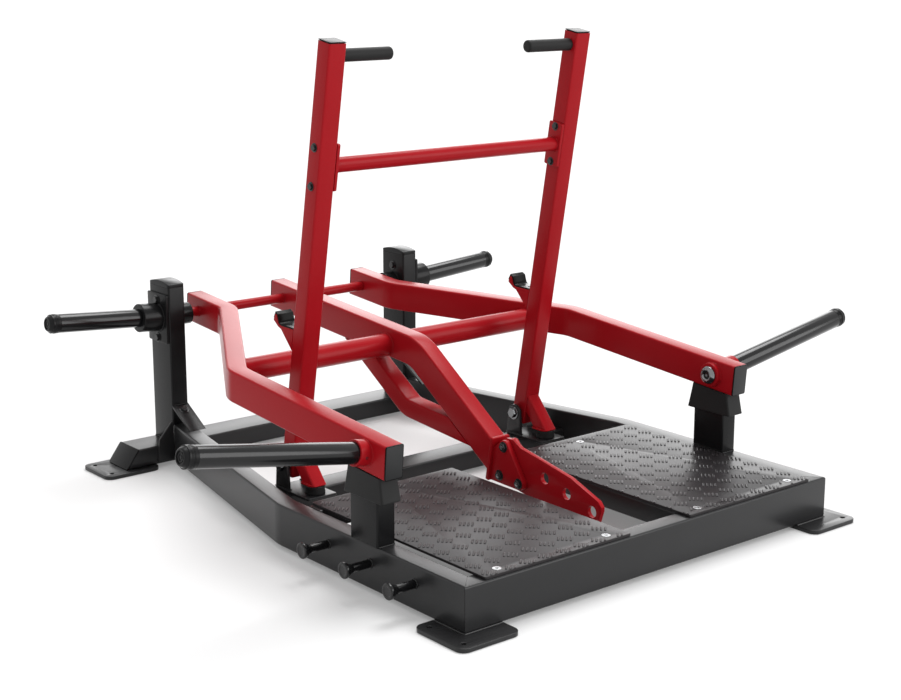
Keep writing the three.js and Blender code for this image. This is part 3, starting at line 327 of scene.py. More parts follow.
# Brackets and bumpers of the handle frame
EAR_THICK = 8
EAR_GAP = 9
EAR_WIDTH = 58
EAR_TOP = 24
EAR_HOLE = 8.3
BUMPER = 26
BUMPER_HEIGHT = 22
BUMPER_SETBACK = 87
BUMPER_PROFILE = (
    (0, 0), (BUMPER - 0.8, 0), (BUMPER, 1.5), (BUMPER - 1.2, BUMPER_HEIGHT / 2),
    (BUMPER, BUMPER_HEIGHT - 1.5), (BUMPER - 1.5, BUMPER_HEIGHT), (0, BUMPER_HEIGHT),
)
BASE_THICK = 6
BASE_DEPTH = 91
BASE_MARGIN = 2
PIVOT_BOLT = 8
PIVOT_HEX = 13.5
PIVOT_HEAD = 9
PIVOT_NUT = 10
PIVOT_HEAD_END = 4
PIVOT_NUT_END = 12
PIVOT_WASHER = 19
PIVOT_WASHER_THICK = 3
BUSH = 15

# Bolts. Shares are parts of a head's radius and height.
HEX_LEVELS = ((0, 1.0), (0.82, 1.0), (1, 0.9))
HEX_CROWN = ((0, 0.5), (0.86, 0.5), (0.86, 0.97), (0, 1.0))
HEX_SOFT = 0.4
WASHER_REACH = 1.32
WASHER_SHARE = 0.22
HEAD_SHARE = 0.8
SOCKET_SHARES = ((0, 0), (1, 0), (1, 1), (0.55, 1), (0.5, 0.45), (0, 0.45))
BOLT = 10.5
GUSSET_BOLT_HEIGHT = 7.8
FLANGE_BOLT_HEIGHT = 7.7
FLANGE_NUT_HEIGHT = 7.5
TIP_BOLT_HEIGHT = 7.6
TIP_BOLT_END = (5.4, 6.6, 7.5)
BAR_BOLT = 8.5
BAR_BOLT_HEIGHT = 6
BOLT_SINK = 0.2

# Worked out from the sizes above
RAIL_TOP = FOOT_THICK + BEAM_HEIGHT
LOW_TOP = FOOT_THICK + LOW_HEIGHT
BEAM_MIDDLE = FOOT_THICK + BEAM_HEIGHT / 2
LOW_MIDDLE = FOOT_THICK + LOW_HEIGHT / 2
RAIL_X = BASE_HALF - TUBE / 2
POST_OUTER = POST_INNER + TUBE
POST_X = POST_INNER + TUBE / 2
POST_MIDDLE = REAR_FRONT + REAR_DEPTH / 2
REAR_REAR = REAR_FRONT + REAR_DEPTH
RAIL_TOE = atan2(BASE_HALF - POST_OUTER, REAR_FRONT - RAIL_BEND)
RAIL_TURN = RAIL_BEND - TUBE / 2 * tan(RAIL_TOE / 2)
MACHINE_MIDDLE = 760.5
JOIST = RAIL_TOP - TUBE / 2 + SEAT
ON_RAIL = RAIL_TOP + 2 * SEAT
PLATE_TOP = ON_RAIL + PLATFORM_THICK
STAND_MIDDLE = STAND_FRONT + STAND_DEPTH / 2
LEVER_LEAN = radians(LEVER_SLOPE)
ARM_SPLAY = atan2(RAIL_X - ARM_REAR_X, ARM_BEND_2 - ARM_BEND_1)
ARM_OUTER = RAIL_X + TUBE / 2
ARM_INNER = ARM_OUTER - TUBE
HORN_RISE = TUBE / 2 * tan(radians(FRONT_TILT))
BOLT_SEAT = ARM_INNER - 2 * SEAT - BOSS_THICK
UPRIGHT_X = UPRIGHT_INNER + TUBE / 2
UPRIGHT_OUTER = UPRIGHT_INNER + TUBE
FLANGE_INNER = UPRIGHT_INNER - SEAT - BAR_FLANGE_THICK
FLANGE_FACE = POST_OUTER + SEAT + FLANGE_THICK
HOUSING_OUTER = POST_INNER - SEAT
HOUSING_INNER = HOUSING_OUTER - HOUSING_LENGTH
BUMPER_PLATE = LOW_TOP + 2 * SEAT
BUMPER_BOTTOM = BUMPER_PLATE + BASE_THICK + SEAT
BRACE_BOTTOM = BUMPER_BOTTOM + BUMPER_HEIGHT + SEAT - FRAME_Z
EARS = (UPRIGHT_INNER - EAR_GAP - EAR_THICK / 2, UPRIGHT_OUTER + EAR_GAP + EAR_THICK / 2)
SCREWS = (
    (PLATFORM_INNER + SCREW_INSET, PLATFORM_FRONT + SCREW_FRONT),
    (PLATFORM_OUTER - SCREW_INSET, PLATFORM_FRONT + SCREW_FRONT),
    ((PLATFORM_INNER + PLATFORM_OUTER) / 2, PLATFORM_REAR - SCREW_REAR),
)
SIDES = (("left", -1), ("right", 1))
BOTH = (-1, 1)

X, Y, Z = Vector((1, 0, 0)), Vector((0, 1, 0)), Vector((0, 0, 1))


def move(x, y, z):
    return Matrix.Translation((x, y, z))


def twist(angle, axis):
    return Matrix.Rotation(angle, 4, axis)


def spin(degrees, axis):
    return twist(radians(degrees), axis)


ALONG_X = Matrix((Y, Z, X)).transposed().to_4x4()
TIP_Z = -(LEVER_END - LEVER_BEND) * tan(radians(LEVER_DROP))
MACHINE = Matrix.Scale(MM, 4) @ move(0, -MACHINE_MIDDLE, 0)
PIVOT = move(0, PIVOT_Y, PIVOT_Z)
HINGE = move(0, FRAME_Y, FRAME_Z)
BOLT_PLACE = move(0, -HORN_PLACE, 0)
PLACES = {
    "base": MACHINE,
    "lever": MACHINE @ PIVOT @ spin(LEVER_SLOPE, "X"),
    "handle_frame": MACHINE @ HINGE @ spin(FRAME_LEAN, "X"),
}
TIP = move(0, -LEVER_END, TIP_Z) @ spin(-LEVER_SLOPE, "X")
FOOT = spin(-FRAME_LEAN, "X")


# Materials
SHINE_FROM = 0.56
SHINE_FULL = 0.85
GRAIN_DEPTH = 0.0004


def node(tree, kind, **values):
    made = tree.nodes.new(kind)
    for key, value in values.items():
        if key in made.inputs:
            made.inputs[key].default_value = value
        else:
            setattr(made, key, value)
    return made


def span(tree, source, low, high, **more):
    """Maps a value from 0 to 1, or from what more says, to the range from low to high."""
    made = node(tree, "ShaderNodeMapRange", **more)
    made.inputs["To Min"].default_value = low
    made.inputs["To Max"].default_value = high
    tree.links.new(source, made.inputs["Value"])
    return made.outputs["Result"]


def finish_material(name, low, high, rough, grain, relief, level=None, metallic=0.0, patch=9):
    """A finish with colour and gloss variation, a fine grain, and a shine that rises at grazing views."""
    material = bpy.data.materials.new(name)
    material.use_nodes = True
    tree = material.node_tree
    shader = tree.nodes["Principled BSDF"]
    shader.inputs["Metallic"].default_value = metallic
    place = node(tree, "ShaderNodeTexCoord")
    broad = node(tree, "ShaderNodeTexNoise", Scale=patch, Detail=4.0, Roughness=0.6)
    fine = node(tree, "ShaderNodeTexNoise", Scale=grain, Detail=2.0, Roughness=0.5)
    colour = node(tree, "ShaderNodeMix", data_type="RGBA")
    colour.inputs[6].default_value = (*low, 1)
    colour.inputs[7].default_value = (*high, 1)
    bump = node(tree, "ShaderNodeBump", Strength=relief, Distance=GRAIN_DEPTH)
    link = tree.links.new
    link(place.outputs["Object"], broad.inputs["Vector"])
    link(place.outputs["Object"], fine.inputs["Vector"])
    link(broad.outputs["Fac"], colour.inputs[0])
    link(colour.outputs[2], shader.inputs["Base Color"])
    link(span(tree, fine.outputs["Fac"], *rough), shader.inputs["Roughness"])
    link(fine.outputs["Fac"], bump.inputs["Height"])
    link(bump.outputs["Normal"], shader.inputs["Normal"])
    if level:
        facing = node(tree, "ShaderNodeLayerWeight", Blend=0.5)
        limits = {"From Min": SHINE_FROM, "From Max": SHINE_FULL, "interpolation_type": "SMOOTHSTEP"}
        shine = span(tree, facing.outputs["Facing"], *level, **limits)
        link(shine, shader.inputs["Specular IOR Level"])
    return material


RED = finish_material(
    "red_powder_coat", (0.31, 0.005, 0.009), (0.36, 0.007, 0.012),
    rough=(0.24, 0.34), grain=520, relief=0.06, level=(0.10, 0.6))
BLACK = finish_material(
    "black_powder_coat", (0.013, 0.013, 0.0135), (0.0185, 0.0185, 0.0195),
    rough=(0.24, 0.36), grain=900, relief=0.10, level=(0.3, 0.72))
# The black powder coat again, made darker and less shiny: painted shade on the stands, rear posts, storage
# flanges and rear beam ends.
BLACK_PAINTED_SHADE = finish_material(
    "black_coat_painted_shade", (0.006, 0.006, 0.0063), (0.010, 0.010, 0.0105),
    rough=(0.2, 0.3), grain=900, relief=0.08, level=(0.14, 0.4))
TREAD = finish_material(
    "black_tread_coat", (0.015, 0.0135, 0.0145), (0.024, 0.0215, 0.023),
    rough=(0.26, 0.36), grain=240, relief=0.3, patch=60, level=(0.15, 0.18))
PLASTIC = finish_material(
    "black_moulded_plastic", (0.005, 0.005, 0.0055), (0.008, 0.008, 0.0085),
    rough=(0.26, 0.36), grain=1500, relief=0.05, level=(0.16, 1.0))
DULL = finish_material(
    "grey_moulded_plastic", (0.018, 0.0185, 0.019), (0.026, 0.0265, 0.0275),
    rough=(0.36, 0.46), grain=1500, relief=0.12, level=(0.25, 0.6))
HORN_COAT = finish_material(
    "black_gloss_coat", (0.004, 0.004, 0.0045), (0.006, 0.006, 0.0065),
    rough=(0.14, 0.22), grain=700, relief=0.04, level=(0.34, 1.0))
LINER = finish_material(
    "black_liner", (0.003, 0.003, 0.003), (0.005, 0.005, 0.005),
    rough=(0.2, 0.3), grain=1500, relief=0.05, level=(0.06, 1.0))
RUBBER = finish_material(
    "black_rubber", (0.010, 0.010, 0.010), (0.015, 0.015, 0.015),
    rough=(0.5, 0.64), grain=1600, relief=0.2, level=(0.18, 0.5))
STEEL = finish_material(
    "bright_steel", (0.28, 0.285, 0.29), (0.42, 0.43, 0.44),
    rough=(0.18, 0.32), grain=1300, relief=0.05, metallic=1.0)
POLISHED = finish_material(
    "polished_steel", (0.16, 0.162, 0.166), (0.24, 0.244, 0.25),
    rough=(0.08, 0.16), grain=1300, relief=0.03, metallic=1.0)
DARK_STEEL = finish_material(
    "black_oxide_steel", (0.008, 0.008, 0.0085), (0.02, 0.02, 0.021),
    rough=(0.16, 0.28), grain=1300, relief=0.1, level=(0.35, 1.0))


# Mesh code
SOFT_STEPS = 3
LEAST_CORNER = 0.4
EASE_REACH = 0.45
EASE_LEAST = 0.05
STRAIGHT = 1e-4
TINY = 1e-6
TURNED_MERGE = 1e-5
BEAD_MERGE = 1e-4
PLATE_MERGE = 0.01
UPRIGHT_WAY = 0.9


def strip(bm, lower, upper):
    """Faces between two closed rows, which meet in a point where a row has one."""
    count = max(len(lower), len(upper))
    for at in range(count if count > 1 else 0):
        after = (at + 1) % count
        low = [lower[k % len(lower)] for k in (at, after)]
        high = [upper[k % len(upper)] for k in (after, at)]
        bm.faces.new(tuple(dict.fromkeys(low + high)))


def skin(rings, close=True):
    """A closed body through rings of points with equal counts."""
    bm = bmesh.new()
    made = [[bm.verts.new(p) for p in row] for row in rings]
    for lower, upper in zip(made, made[1:]):
        strip(bm, lower, upper)
    if close:
        bm.faces.new(list(reversed(made[0])))
        bm.faces.new(made[-1])
    bmesh.ops.recalc_face_normals(bm, faces=bm.faces)
    return bm


def outline_of(width, height, corner=CORNER, steps=5):
    """A rectangle about the origin with rounded corners."""
    points = []
    for quarter, (across, up) in enumerate(((1, 1), (-1, 1), (-1, -1), (1, -1))):
        for step in range(steps + 1):
            angle = (quarter + step / steps) * pi / 2
            x = across * (width / 2 - corner) + corner * cos(angle)
            y = up * (height / 2 - corner) + corner * sin(angle)
            points.append((x, y))
    return points


def circle(radius, sides, x=0.0, y=0.0):
    angles = [2 * pi * at / sides for at in range(sides)]
    return [(x + radius * cos(angle), y + radius * sin(angle)) for angle in angles]


def bends(corners, radius, normal, steps=10):
    """Stops of a path in one plane: place, way and stretch across it."""
    corners = [Vector(c) for c in corners]
    stops = [(corners[0], (corners[1] - corners[0]).normalized(), 1.0)]
    for before_at, spot, after_at in zip(corners, corners[1:], corners[2:]):
        before, after = (spot - before_at).normalized(), (after_at - spot).normalized()
        turn = atan2(before.cross(after).dot(normal), before.dot(after))
        if radius == 0:
            stops.append((spot, (before + after).normalized(), 1 / cos(turn / 2)))
            continue
        side = normal.cross(before) * copysign(1, turn)
        start = spot - before * radius * tan(abs(turn) / 2)
        centre = start + side * radius
        for step in range(steps + 1):
            part = Matrix.Rotation(turn * step / steps, 3, normal)
            stops.append((centre + part @ (start - centre), part @ before, 1.0))
    stops.append((corners[-1], (corners[-1] - corners[-2]).normalized(), 1.0))
    return stops


def swept(stops, normal, width, height, corner=CORNER, lips=(LIP, LIP), hollow=False):
    """A tube along the stops: width lies in the plane of the bends, height along its normal."""
    def section(place, way, stretch, inset, shift):
        across = normal.cross(way).normalized() * stretch
        at = place + way * shift
        soft = max(corner - inset, LEAST_CORNER)
        outline = outline_of(width - 2 * inset, height - 2 * inset, soft)
        return [at + across * x + normal * y for x, y in outline]

    def end(stop, lip, sign):
        rows = []
        for part in range(SOFT_STEPS + 1):
            angle = part / SOFT_STEPS * pi / 2
            rows.append(section(*stop, lip * (1 - sin(angle)), sign * lip * (1 - cos(angle))))
        return rows

    inside = [section(*stops[0], WALL, shift) for shift in (OPEN_DEPTH, LIP / 2)] if hollow else []
    middle = [section(*stop, 0, 0) for stop in stops[1:-1]]
    return skin(inside + end(stops[0], lips[0], 1) + middle + end(stops[-1], lips[1], -1)[::-1])


def tube(start, end, normal, width, height, **more):
    return swept(bends((start, end), 0, normal), normal, width, height, **more)


def stacked(levels):
    """A body through rounded rectangles, each with its width, depth, corner and height."""
    return skin([[(x, y, z) for x, y in outline_of(*size)] for *size, z in levels])


def trim(bm, place, outward, soften=0.6):
    """Cuts off what lies outward of a plane and closes the cut with a softened edge."""
    whole = bm.verts[:] + bm.edges[:] + bm.faces[:]
    normal = Vector(outward).normalized()
    bmesh.ops.bisect_plane(bm, geom=whole, plane_co=place, plane_no=normal, clear_outer=True)
    rim = [edge for edge in bm.edges if edge.is_boundary]
    if rim:
        filled = bmesh.ops.edgeloop_fill(bm, edges=rim)["faces"]
        bmesh.ops.recalc_face_normals(bm, faces=bm.faces)
        if soften:
            edges = list({edge for face in filled for edge in face.edges})
            bevelled(bm, edges, soften)


def bevelled(bm, edges, offset):
    bmesh.ops.bevel(bm, geom=edges, offset=offset, segments=2, affect="EDGES", clamp_overlap=True)


def eased(profile, ease):
    """A lathe profile with its corners rounded."""
    spots = [Vector(p) for p in profile]
    out = [spots[0]]
    for before, spot, after in zip(spots, spots[1:], spots[2:]):
        a, b = before - spot, after - spot
        reach = min(ease, a.length * EASE_REACH, b.length * EASE_REACH)
        straight = min(a.length, b.length) < TINY or abs(a.normalized().dot(b.normalized()) + 1) < STRAIGHT
        if straight or reach < EASE_LEAST:
            out.append(spot)
            continue
        start, end = spot + a.normalized() * reach, spot + b.normalized() * reach
        for step in range(SOFT_STEPS + 1):
            t = step / SOFT_STEPS
            out.append(start * (1 - t) ** 2 + spot * 2 * t * (1 - t) + end * t ** 2)
    return out + [spots[-1]]


def turned(profile, sides=TURNED_SIDES, ease=1.0):
    """A body turned about Z. A radius of zero ends it on the axis, and a profile without one is a ring."""
    bm = bmesh.new()
    rows = []
    for radius, height in eased(profile, ease):
        spots = [(0, 0)] if radius < TINY else circle(radius, sides)
        rows.append([bm.verts.new((*p, height)) for p in spots])
    pairs = list(zip(rows, rows[1:]))
    if profile[0][0] > TINY:
        pairs.append((rows[-1], rows[0]))
    for lower, upper in pairs:
        strip(bm, lower, upper)
    bmesh.ops.remove_doubles(bm, verts=bm.verts, dist=TURNED_MERGE)
    bmesh.ops.recalc_face_normals(bm, faces=bm.faces)
    return bm


def ring(outer, inner, start, end, sides=TURNED_SIDES, ease=1.0):
    return turned([(inner, start), (outer, start), (outer, end), (inner, end)], sides, ease)


def rod(radius, start, end, sides=TURNED_SIDES, ease=1.0):
    return turned([(0, start), (radius, start), (radius, end), (0, end)], sides, ease)


def plate(outline, thickness, holes=(), lip=LIP):
    """A flat plate about Z = 0, with softened edges all round and at its holes."""
    curve = bpy.data.curves.new("outline", "CURVE")
    curve.dimensions = "2D"
    curve.fill_mode = "BOTH"
    for at, loop in enumerate((outline, *holes)):
        area = sum(a[0] * b[1] - a[1] * b[0] for a, b in zip(loop, [*loop[1:], loop[0]]))
        if (area < 0) == (at == 0):
            loop = loop[::-1]
        spline = curve.splines.new("POLY")
        spline.points.add(len(loop) - 1)
        for spot, (x, y) in zip(spline.points, loop):
            spot.co = (x, y, 0, 1)
        spline.use_cyclic_u = True
    curve.extrude = thickness / 2 - lip
    curve.bevel_depth = lip
    curve.bevel_resolution = 2
    curve.offset = -lip
    shown = in_scene("outline", curve)
    bpy.context.view_layer.update()
    mesh = bpy.data.meshes.new_from_object(shown.evaluated_get(bpy.context.evaluated_depsgraph_get()))
    bm = bmesh.new()
    bm.from_mesh(mesh)
    bpy.data.objects.remove(shown)
    bpy.data.curves.remove(curve)
    bpy.data.meshes.remove(mesh)
    bmesh.ops.remove_doubles(bm, verts=bm.verts, dist=PLATE_MERGE)
    bmesh.ops.recalc_face_normals(bm, faces=bm.faces)
    return bm


def placed(bm, matrix):
    bm.transform(matrix)
    return bm


def side_plate(outline, thickness, x, holes=(), lip=LIP):
    """A plate that stands across X, with its outline in Y and Z."""
    return placed(plate(outline, thickness, holes, lip), move(x, 0, 0) @ ALONG_X)


def to_side(side):
    """Turns Z into the way out of a side."""
    return (spin(180, "Z") if side < 0 else Matrix()) @ ALONG_X


def along_x(bm, side=1, place=Matrix()):
    return placed(bm, place @ to_side(side))


def flipped(bm, level):
    """Turns a body upside down, with its foot at a level."""
    return placed(bm, move(0, 0, level) @ spin(180, "X"))


def gathered(*bodies):
    """Several bodies in one mesh."""
    whole = bmesh.new()
    scrap = bpy.data.meshes.new("scrap")
    for body in bodies:
        body.to_mesh(scrap)
        whole.from_mesh(scrap)
        body.free()
    bpy.data.meshes.remove(scrap)
    return whole


def wrapped(points):
    """The outline round a set of points."""
    ordered = sorted(points)

    def half(row):
        chain = []
        for spot in row:
            while len(chain) > 1:
                a, b = chain[-2:]
                if (b[0] - a[0]) * (spot[1] - a[1]) - (b[1] - a[1]) * (spot[0] - a[0]) > 0:
                    break
                chain.pop()
            chain.append(spot)
        return chain
    return half(ordered)[:-1] + half(ordered[::-1])[:-1]


def bead(points, radius=BEAD, closed=True):
    """A weld bead along points, with the ripples of its passes."""
    points = [Vector(p) for p in points]
    dense, count = [], len(points)
    for at in range(count if closed else count - 1):
        a, b = points[at], points[(at + 1) % count]
        parts = max(1, round((b - a).length / (BEAD_RIPPLE / 2)))
        dense += [a.lerp(b, part / parts) for part in range(parts)]
    if not closed:
        dense.append(points[-1])
    total = len(dense)
    rings = []
    for at, spot in enumerate(dense):
        before = dense[at - 1] if closed or at else spot
        after = dense[(at + 1) % total] if closed or at + 1 < total else spot
        way = (after - before).normalized()
        upright = abs(way.z) > UPRIGHT_WAY
        side = way.orthogonal().normalized() if upright else way.cross(Z).normalized()
        up = side.cross(way).normalized()
        size = radius * (1.0 if at % 2 else BEAD_WAIST)
        rings.append([spot + (side * x + up * y) * size for x, y in circle(1, BEAD_SIDES)])
    if closed:
        bm = skin(rings + [rings[0]], close=False)
        bmesh.ops.remove_doubles(bm, verts=bm.verts, dist=BEAD_MERGE)
        return bm
    return skin(rings)


def round_bead(radius, level, size, sides):
    return bead([(*p, level) for p in circle(radius, sides)], size)


def square_bead(place, outer, size):
    x, y, z = place
    return bead([(x + a, y + b, z) for a, b in outline_of(*outer, steps=3)], size)


def hexagon(radius, start, height, ease=0.8):
    """A hexagon head along Z with a chamfered, slightly crowned top."""
    rings = []
    for share, size in HEX_LEVELS:
        rings.append([(x * size, y * size, start + height * share) for x, y in circle(radius, 6)])
    bm = skin(rings)
    bevelled(bm, bm.edges[:], ease * HEX_SOFT)
    flat = radius * cos(pi / 6)
    crown = turned([(flat * r, start + height * z) for r, z in HEX_CROWN], BOLT_SIDES, ease=0.5)
    return gathered(bm, crown)


def hex_bolt(radius, start, height):
    """A hexagon head on its washer."""
    washer = rod(radius * WASHER_REACH, start, start + height * WASHER_SHARE, BOLT_SIDES, ease=0.4)
    return gathered(washer, hexagon(radius, start + height * (1 - HEAD_SHARE), height * HEAD_SHARE))


def through_bolt(side, radius, outer, height, inner, nut_height):
    """A bolt along X, with its head at an outer level and its nut at an inner one."""
    nut = flipped(hex_bolt(radius, 0, nut_height), inner)
    return gathered(along_x(hex_bolt(radius, outer, height), side), along_x(nut, side))


def socket_bolt(radius, start, height):
    """A cap screw with a round socket."""
    return turned([(radius * r, start + height * z) for r, z in SOCKET_SHARES], BOLT_SIDES, ease=0.8)


def in_scene(name, data):
    """A new object in the scene."""
    made = bpy.data.objects.new(name, data)
    bpy.context.scene.collection.objects.link(made)
    return made


def add(name, bm, material, body="base", place=Matrix(), *nodes, smooth=SMOOTH_ANGLE):
    """Turns mesh code into a piece that rides on a body and stands for CAD nodes."""
    bm.transform(PLACES[body] @ place)
    mesh = bpy.data.meshes.new(name)
    bm.to_mesh(mesh)
    bm.free()
    mesh.materials.append(material)
    mesh.shade_smooth()
    mesh.set_sharp_from_angle(angle=radians(smooth))
    shown = in_scene(name, mesh)
    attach(shown, body)
    if nodes:
        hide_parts(*nodes)


def dress(name, bm, material, body="base", place=Matrix(), **more):
    """Adds the piece that stands for the CAD node of this name."""
    add(f"{name}_dressed", bm, material, body, place, name, **more)


def on_both(*parts):
    """Makes parts at the left, then at the right."""
    for name, side in SIDES:
        for part in parts:
            part(name, side)


# Base frame
def foot_plate(side, outer, front, depth):
    hole_x, hole_y = FOOT_WIDTH / 2 - FOOT_HOLE_INSET, depth / 2 - FOOT_HOLE_INSET
    holes = [circle(FOOT_HOLE, HOLE_SIDES, side * hole_x, end * hole_y) for end in (-1, 1)]
    bm = plate(outline_of(FOOT_WIDTH, depth, FOOT_CORNER, steps=8), FOOT_THICK, holes, FOOT_LIP)
    return placed(bm, move(side * (outer - FOOT_WIDTH / 2), front + depth / 2, FOOT_THICK / 2))


def front_beam():
    parts = [tube(*((side * BASE_HALF, TUBE / 2, BEAM_MIDDLE) for side in BOTH), Z, TUBE, BEAM_HEIGHT)]
    for side in BOTH:
        trim(parts[0], (side * BASE_HALF, -SEAT, 0), (side, 1, 0), EDGE)
        parts.append(foot_plate(side, BASE_HALF + FRONT_FOOT_OUT, FRONT_FOOT_START, FRONT_FOOT_DEPTH))
        spots = [(side * (BASE_HALF + x), y, FOOT_THICK + BEAD_LIFT) for x, y in FOOT_BEAD]
        parts.append(bead(spots, BEAD_BROAD, closed=False))
    dress("front_beam", gathered(*parts), BLACK)


def rail(name, side):
    rear_x = RAIL_X - (REAR_REAR - RAIL_TURN) * tan(RAIL_TOE)
    spots = ((RAIL_X, 0), (RAIL_X, RAIL_TURN), (rear_x, REAR_REAR))
    stops = bends([(side * x, y, BEAM_MIDDLE + SEAT) for x, y in spots], RAIL_RADIUS, Z)
    body = swept(stops, Z, TUBE, BEAM_HEIGHT)
    trim(body, (side * BASE_HALF, SEAT, 0), (-side, -1, 0), EDGE)
    trim(body, (0, REAR_FRONT - SEAT, 0), Y, EDGE)
    dress(f"{name}_rail", body, BLACK)


def rear_beam_end(name, side):
    """The plate on the slanted end of the rear beam."""
    lean = atan(REAR_SLANT / LOW_HEIGHT)
    cover = plate(outline_of(REAR_DEPTH, hypot(REAR_SLANT, LOW_HEIGHT), steps=4), END_PLATE + SINK)
    off = (END_PLATE - SINK) / 2
    x = side * (REAR_HALF - REAR_SLANT / 2 + off * cos(lean))
    z = LOW_MIDDLE + off * sin(lean)
    placed(cover, move(x, POST_MIDDLE, z) @ twist(-side * lean, "Y") @ ALONG_X)
    # Painted shade: the end plate takes the darker copy of the black coat.
    add(f"{name}_rear_beam_end", cover, BLACK_PAINTED_SHADE)


def wing(side):
    """The upright gusset in front of the rear beam."""
    inner = POST_OUTER + 2 * SEAT + WING_THICK * tan(RAIL_TOE)
    bottom = FOOT_THICK + WING_LIFT
    outline = [(side * (inner + a * WING_REACH), bottom + u * WING_HEIGHT) for a, u in WING_SHARES]
    bm = plate(outline, WING_THICK + SINK, lip=WING_LIP)
    return placed(bm, move(0, REAR_FRONT - (WING_THICK - SINK) / 2, 0) @ spin(90, "X"))


def rear_beam():
    ends = ((side * REAR_HALF, POST_MIDDLE, LOW_MIDDLE) for side in BOTH)
    parts = [tube(*ends, Z, REAR_DEPTH, LOW_HEIGHT)]
    front = REAR_REAR + REAR_FOOT_PAST - REAR_FOOT_DEPTH
    for name, side in SIDES:
        trim(parts[0], (side * REAR_HALF, 0, FOOT_THICK), (side * LOW_HEIGHT, 0, REAR_SLANT))
        rear_beam_end(name, side)
        parts.append(foot_plate(side, REAR_HALF + REAR_FOOT_OUT, front, REAR_FOOT_DEPTH))
        parts.append(wing(side))
    dress("rear_beam", gathered(*parts), BLACK)


def mid_beam():
    y = MID_FRONT + MID_DEPTH / 2
    rail_inner = RAIL_X - (y - RAIL_TURN) * tan(RAIL_TOE) - TUBE / 2 / cos(RAIL_TOE)
    body = tube(*((side * BASE_HALF, y, LOW_MIDDLE + SEAT) for side in BOTH), Z, MID_DEPTH, LOW_HEIGHT)
    for side in BOTH:
        outward = Vector((side * cos(RAIL_TOE), sin(RAIL_TOE), 0))
        trim(body, Vector((side * rail_inner, y, 0)) - outward * SEAT, outward)
    dress("mid_beam", body, BLACK)


front_beam()
on_both(rail)
rear_beam()
mid_beam()


# Platforms: a joist frame, the tread plate and its screws
def tread_bar(bm, centre, way):
    """One low rounded bar of the tread plate."""
    across = Vector((-way.y, way.x))
    levels = []
    for inset, rise in TREAD_STEPS:
        half, end = TREAD_WIDTH / 2 - inset, TREAD_LENGTH / 2 - inset
        loop = []
        for turn in (0, pi):
            for step in range(TREAD_ROUND):
                angle = (step / (TREAD_ROUND - 1) - 0.5) * pi + turn
                along = copysign(end - half, cos(turn)) + half * cos(angle)
                spot = centre + way * along + across * half * sin(angle)
                loop.append(bm.verts.new((spot.x, spot.y, PLATE_TOP + rise * TREAD_RISE)))
        levels.append(loop)
    for lower, upper in zip(levels, levels[1:]):
        strip(bm, lower, upper)
    bm.faces.new(levels[-1])
    bm.faces.new(levels[0][::-1])


def tread_bars(name, side):
    """Raised bars in groups of four, kept off the screws and cut at the plate's edge."""
    bm = bmesh.new()
    way = Vector((1, 1)).normalized()
    across = Vector((-way.y, way.x))
    low_x, high_x = sorted((side * PLATFORM_INNER, side * PLATFORM_OUTER))
    reach = range(-TREAD_REACH, TREAD_REACH + 1)
    for row, column in [(row, column) for row in reach for column in reach]:
        group = Vector(TREAD_START[name]) + Vector((column, row)) * TREAD_PITCH
        for bar in range(TREAD_GROUP):
            centre = group + across * (bar - (TREAD_GROUP - 1) / 2) * TREAD_BAR
            clear = all((centre - Vector((side * x, y))).length > TREAD_CLEAR for x, y in SCREWS)
            across_fits = low_x - TREAD_OVERRUN < centre.x < high_x + TREAD_OVERRUN
            along_fits = PLATFORM_FRONT - TREAD_OVERRUN < centre.y < PLATFORM_REAR + TREAD_OVERRUN
            if clear and across_fits and along_fits:
                tread_bar(bm, centre, way)
    trim(bm, (low_x + TREAD_EDGE, 0, 0), -X, soften=0)
    trim(bm, (high_x - TREAD_EDGE, 0, 0), X, soften=0)
    trim(bm, (0, PLATFORM_FRONT + TREAD_EDGE, 0), -Y, soften=0)
    trim(bm, (0, PLATFORM_REAR - TREAD_EDGE, 0), Y, soften=0)
    return bm


def platform_frame(name, side):
    inner, back = PLATFORM_INNER + TUBE / 2, PLATFORM_REAR - TUBE / 2
    outer = BASE_HALF - TUBE
    spots = ((inner, TUBE + SEAT), (inner, back), (outer - SEAT, back))
    parts = [swept(bends([(side * x, y, JOIST) for x, y in spots], 0, Z), Z, TUBE, TUBE)]
    seams = (
        (PLATFORM_INNER - SEAM_OFF, TUBE + 1),
        (outer - 1, PLATFORM_REAR + SEAM_OFF),
        (outer - 1, PLATFORM_REAR - TUBE - SEAM_OFF),
    )
    for x, y in seams:
        parts.append(bead([(side * x, y, JOIST + z) for z in (SEAM_REACH, -SEAM_REACH)], closed=False))
    dress(f"{name}_platform_frame", gathered(*parts), BLACK)


def platform(name, side):
    width, depth = PLATFORM_OUTER - PLATFORM_INNER, PLATFORM_REAR - PLATFORM_FRONT
    x, y = side * (PLATFORM_INNER + PLATFORM_OUTER) / 2, PLATFORM_FRONT + depth / 2
    holes = [circle(SCREW_HOLE, BOLT_SIDES, side * sx - x, sy - y) for sx, sy in SCREWS]
    board = plate(outline_of(width, depth, steps=6), PLATFORM_THICK, holes, PLATFORM_LIP)
    placed(board, move(x, y, ON_RAIL + PLATFORM_THICK / 2))
    dress(f"{name}_platform", gathered(board, tread_bars(name, side)), TREAD)
    for at, (sx, sy) in enumerate(SCREWS):
        head = turned(SCREW_PROFILE, BOLT_SIDES, ease=0.3)
        add(f"{name}_platform_screw_{at}", head, STEEL, "base", move(side * sx, sy, PLATE_TOP))


on_both(platform_frame, platform)


# Stands and band pegs
def stand(name, side):
    post = tube(*((side * RAIL_X, STAND_MIDDLE, z) for z in (ON_RAIL, STAND_TOP)), Y, TUBE, STAND_DEPTH)
    seam = square_bead((side * RAIL_X, STAND_MIDDLE, ON_RAIL + BEAD_OFF), STAND_SEAM, BEAD_BROAD)
    # Painted shade: the stand takes the darker copy of the black coat.
    dress(f"{name}_stand", gathered(post, seam), BLACK_PAINTED_SHADE)


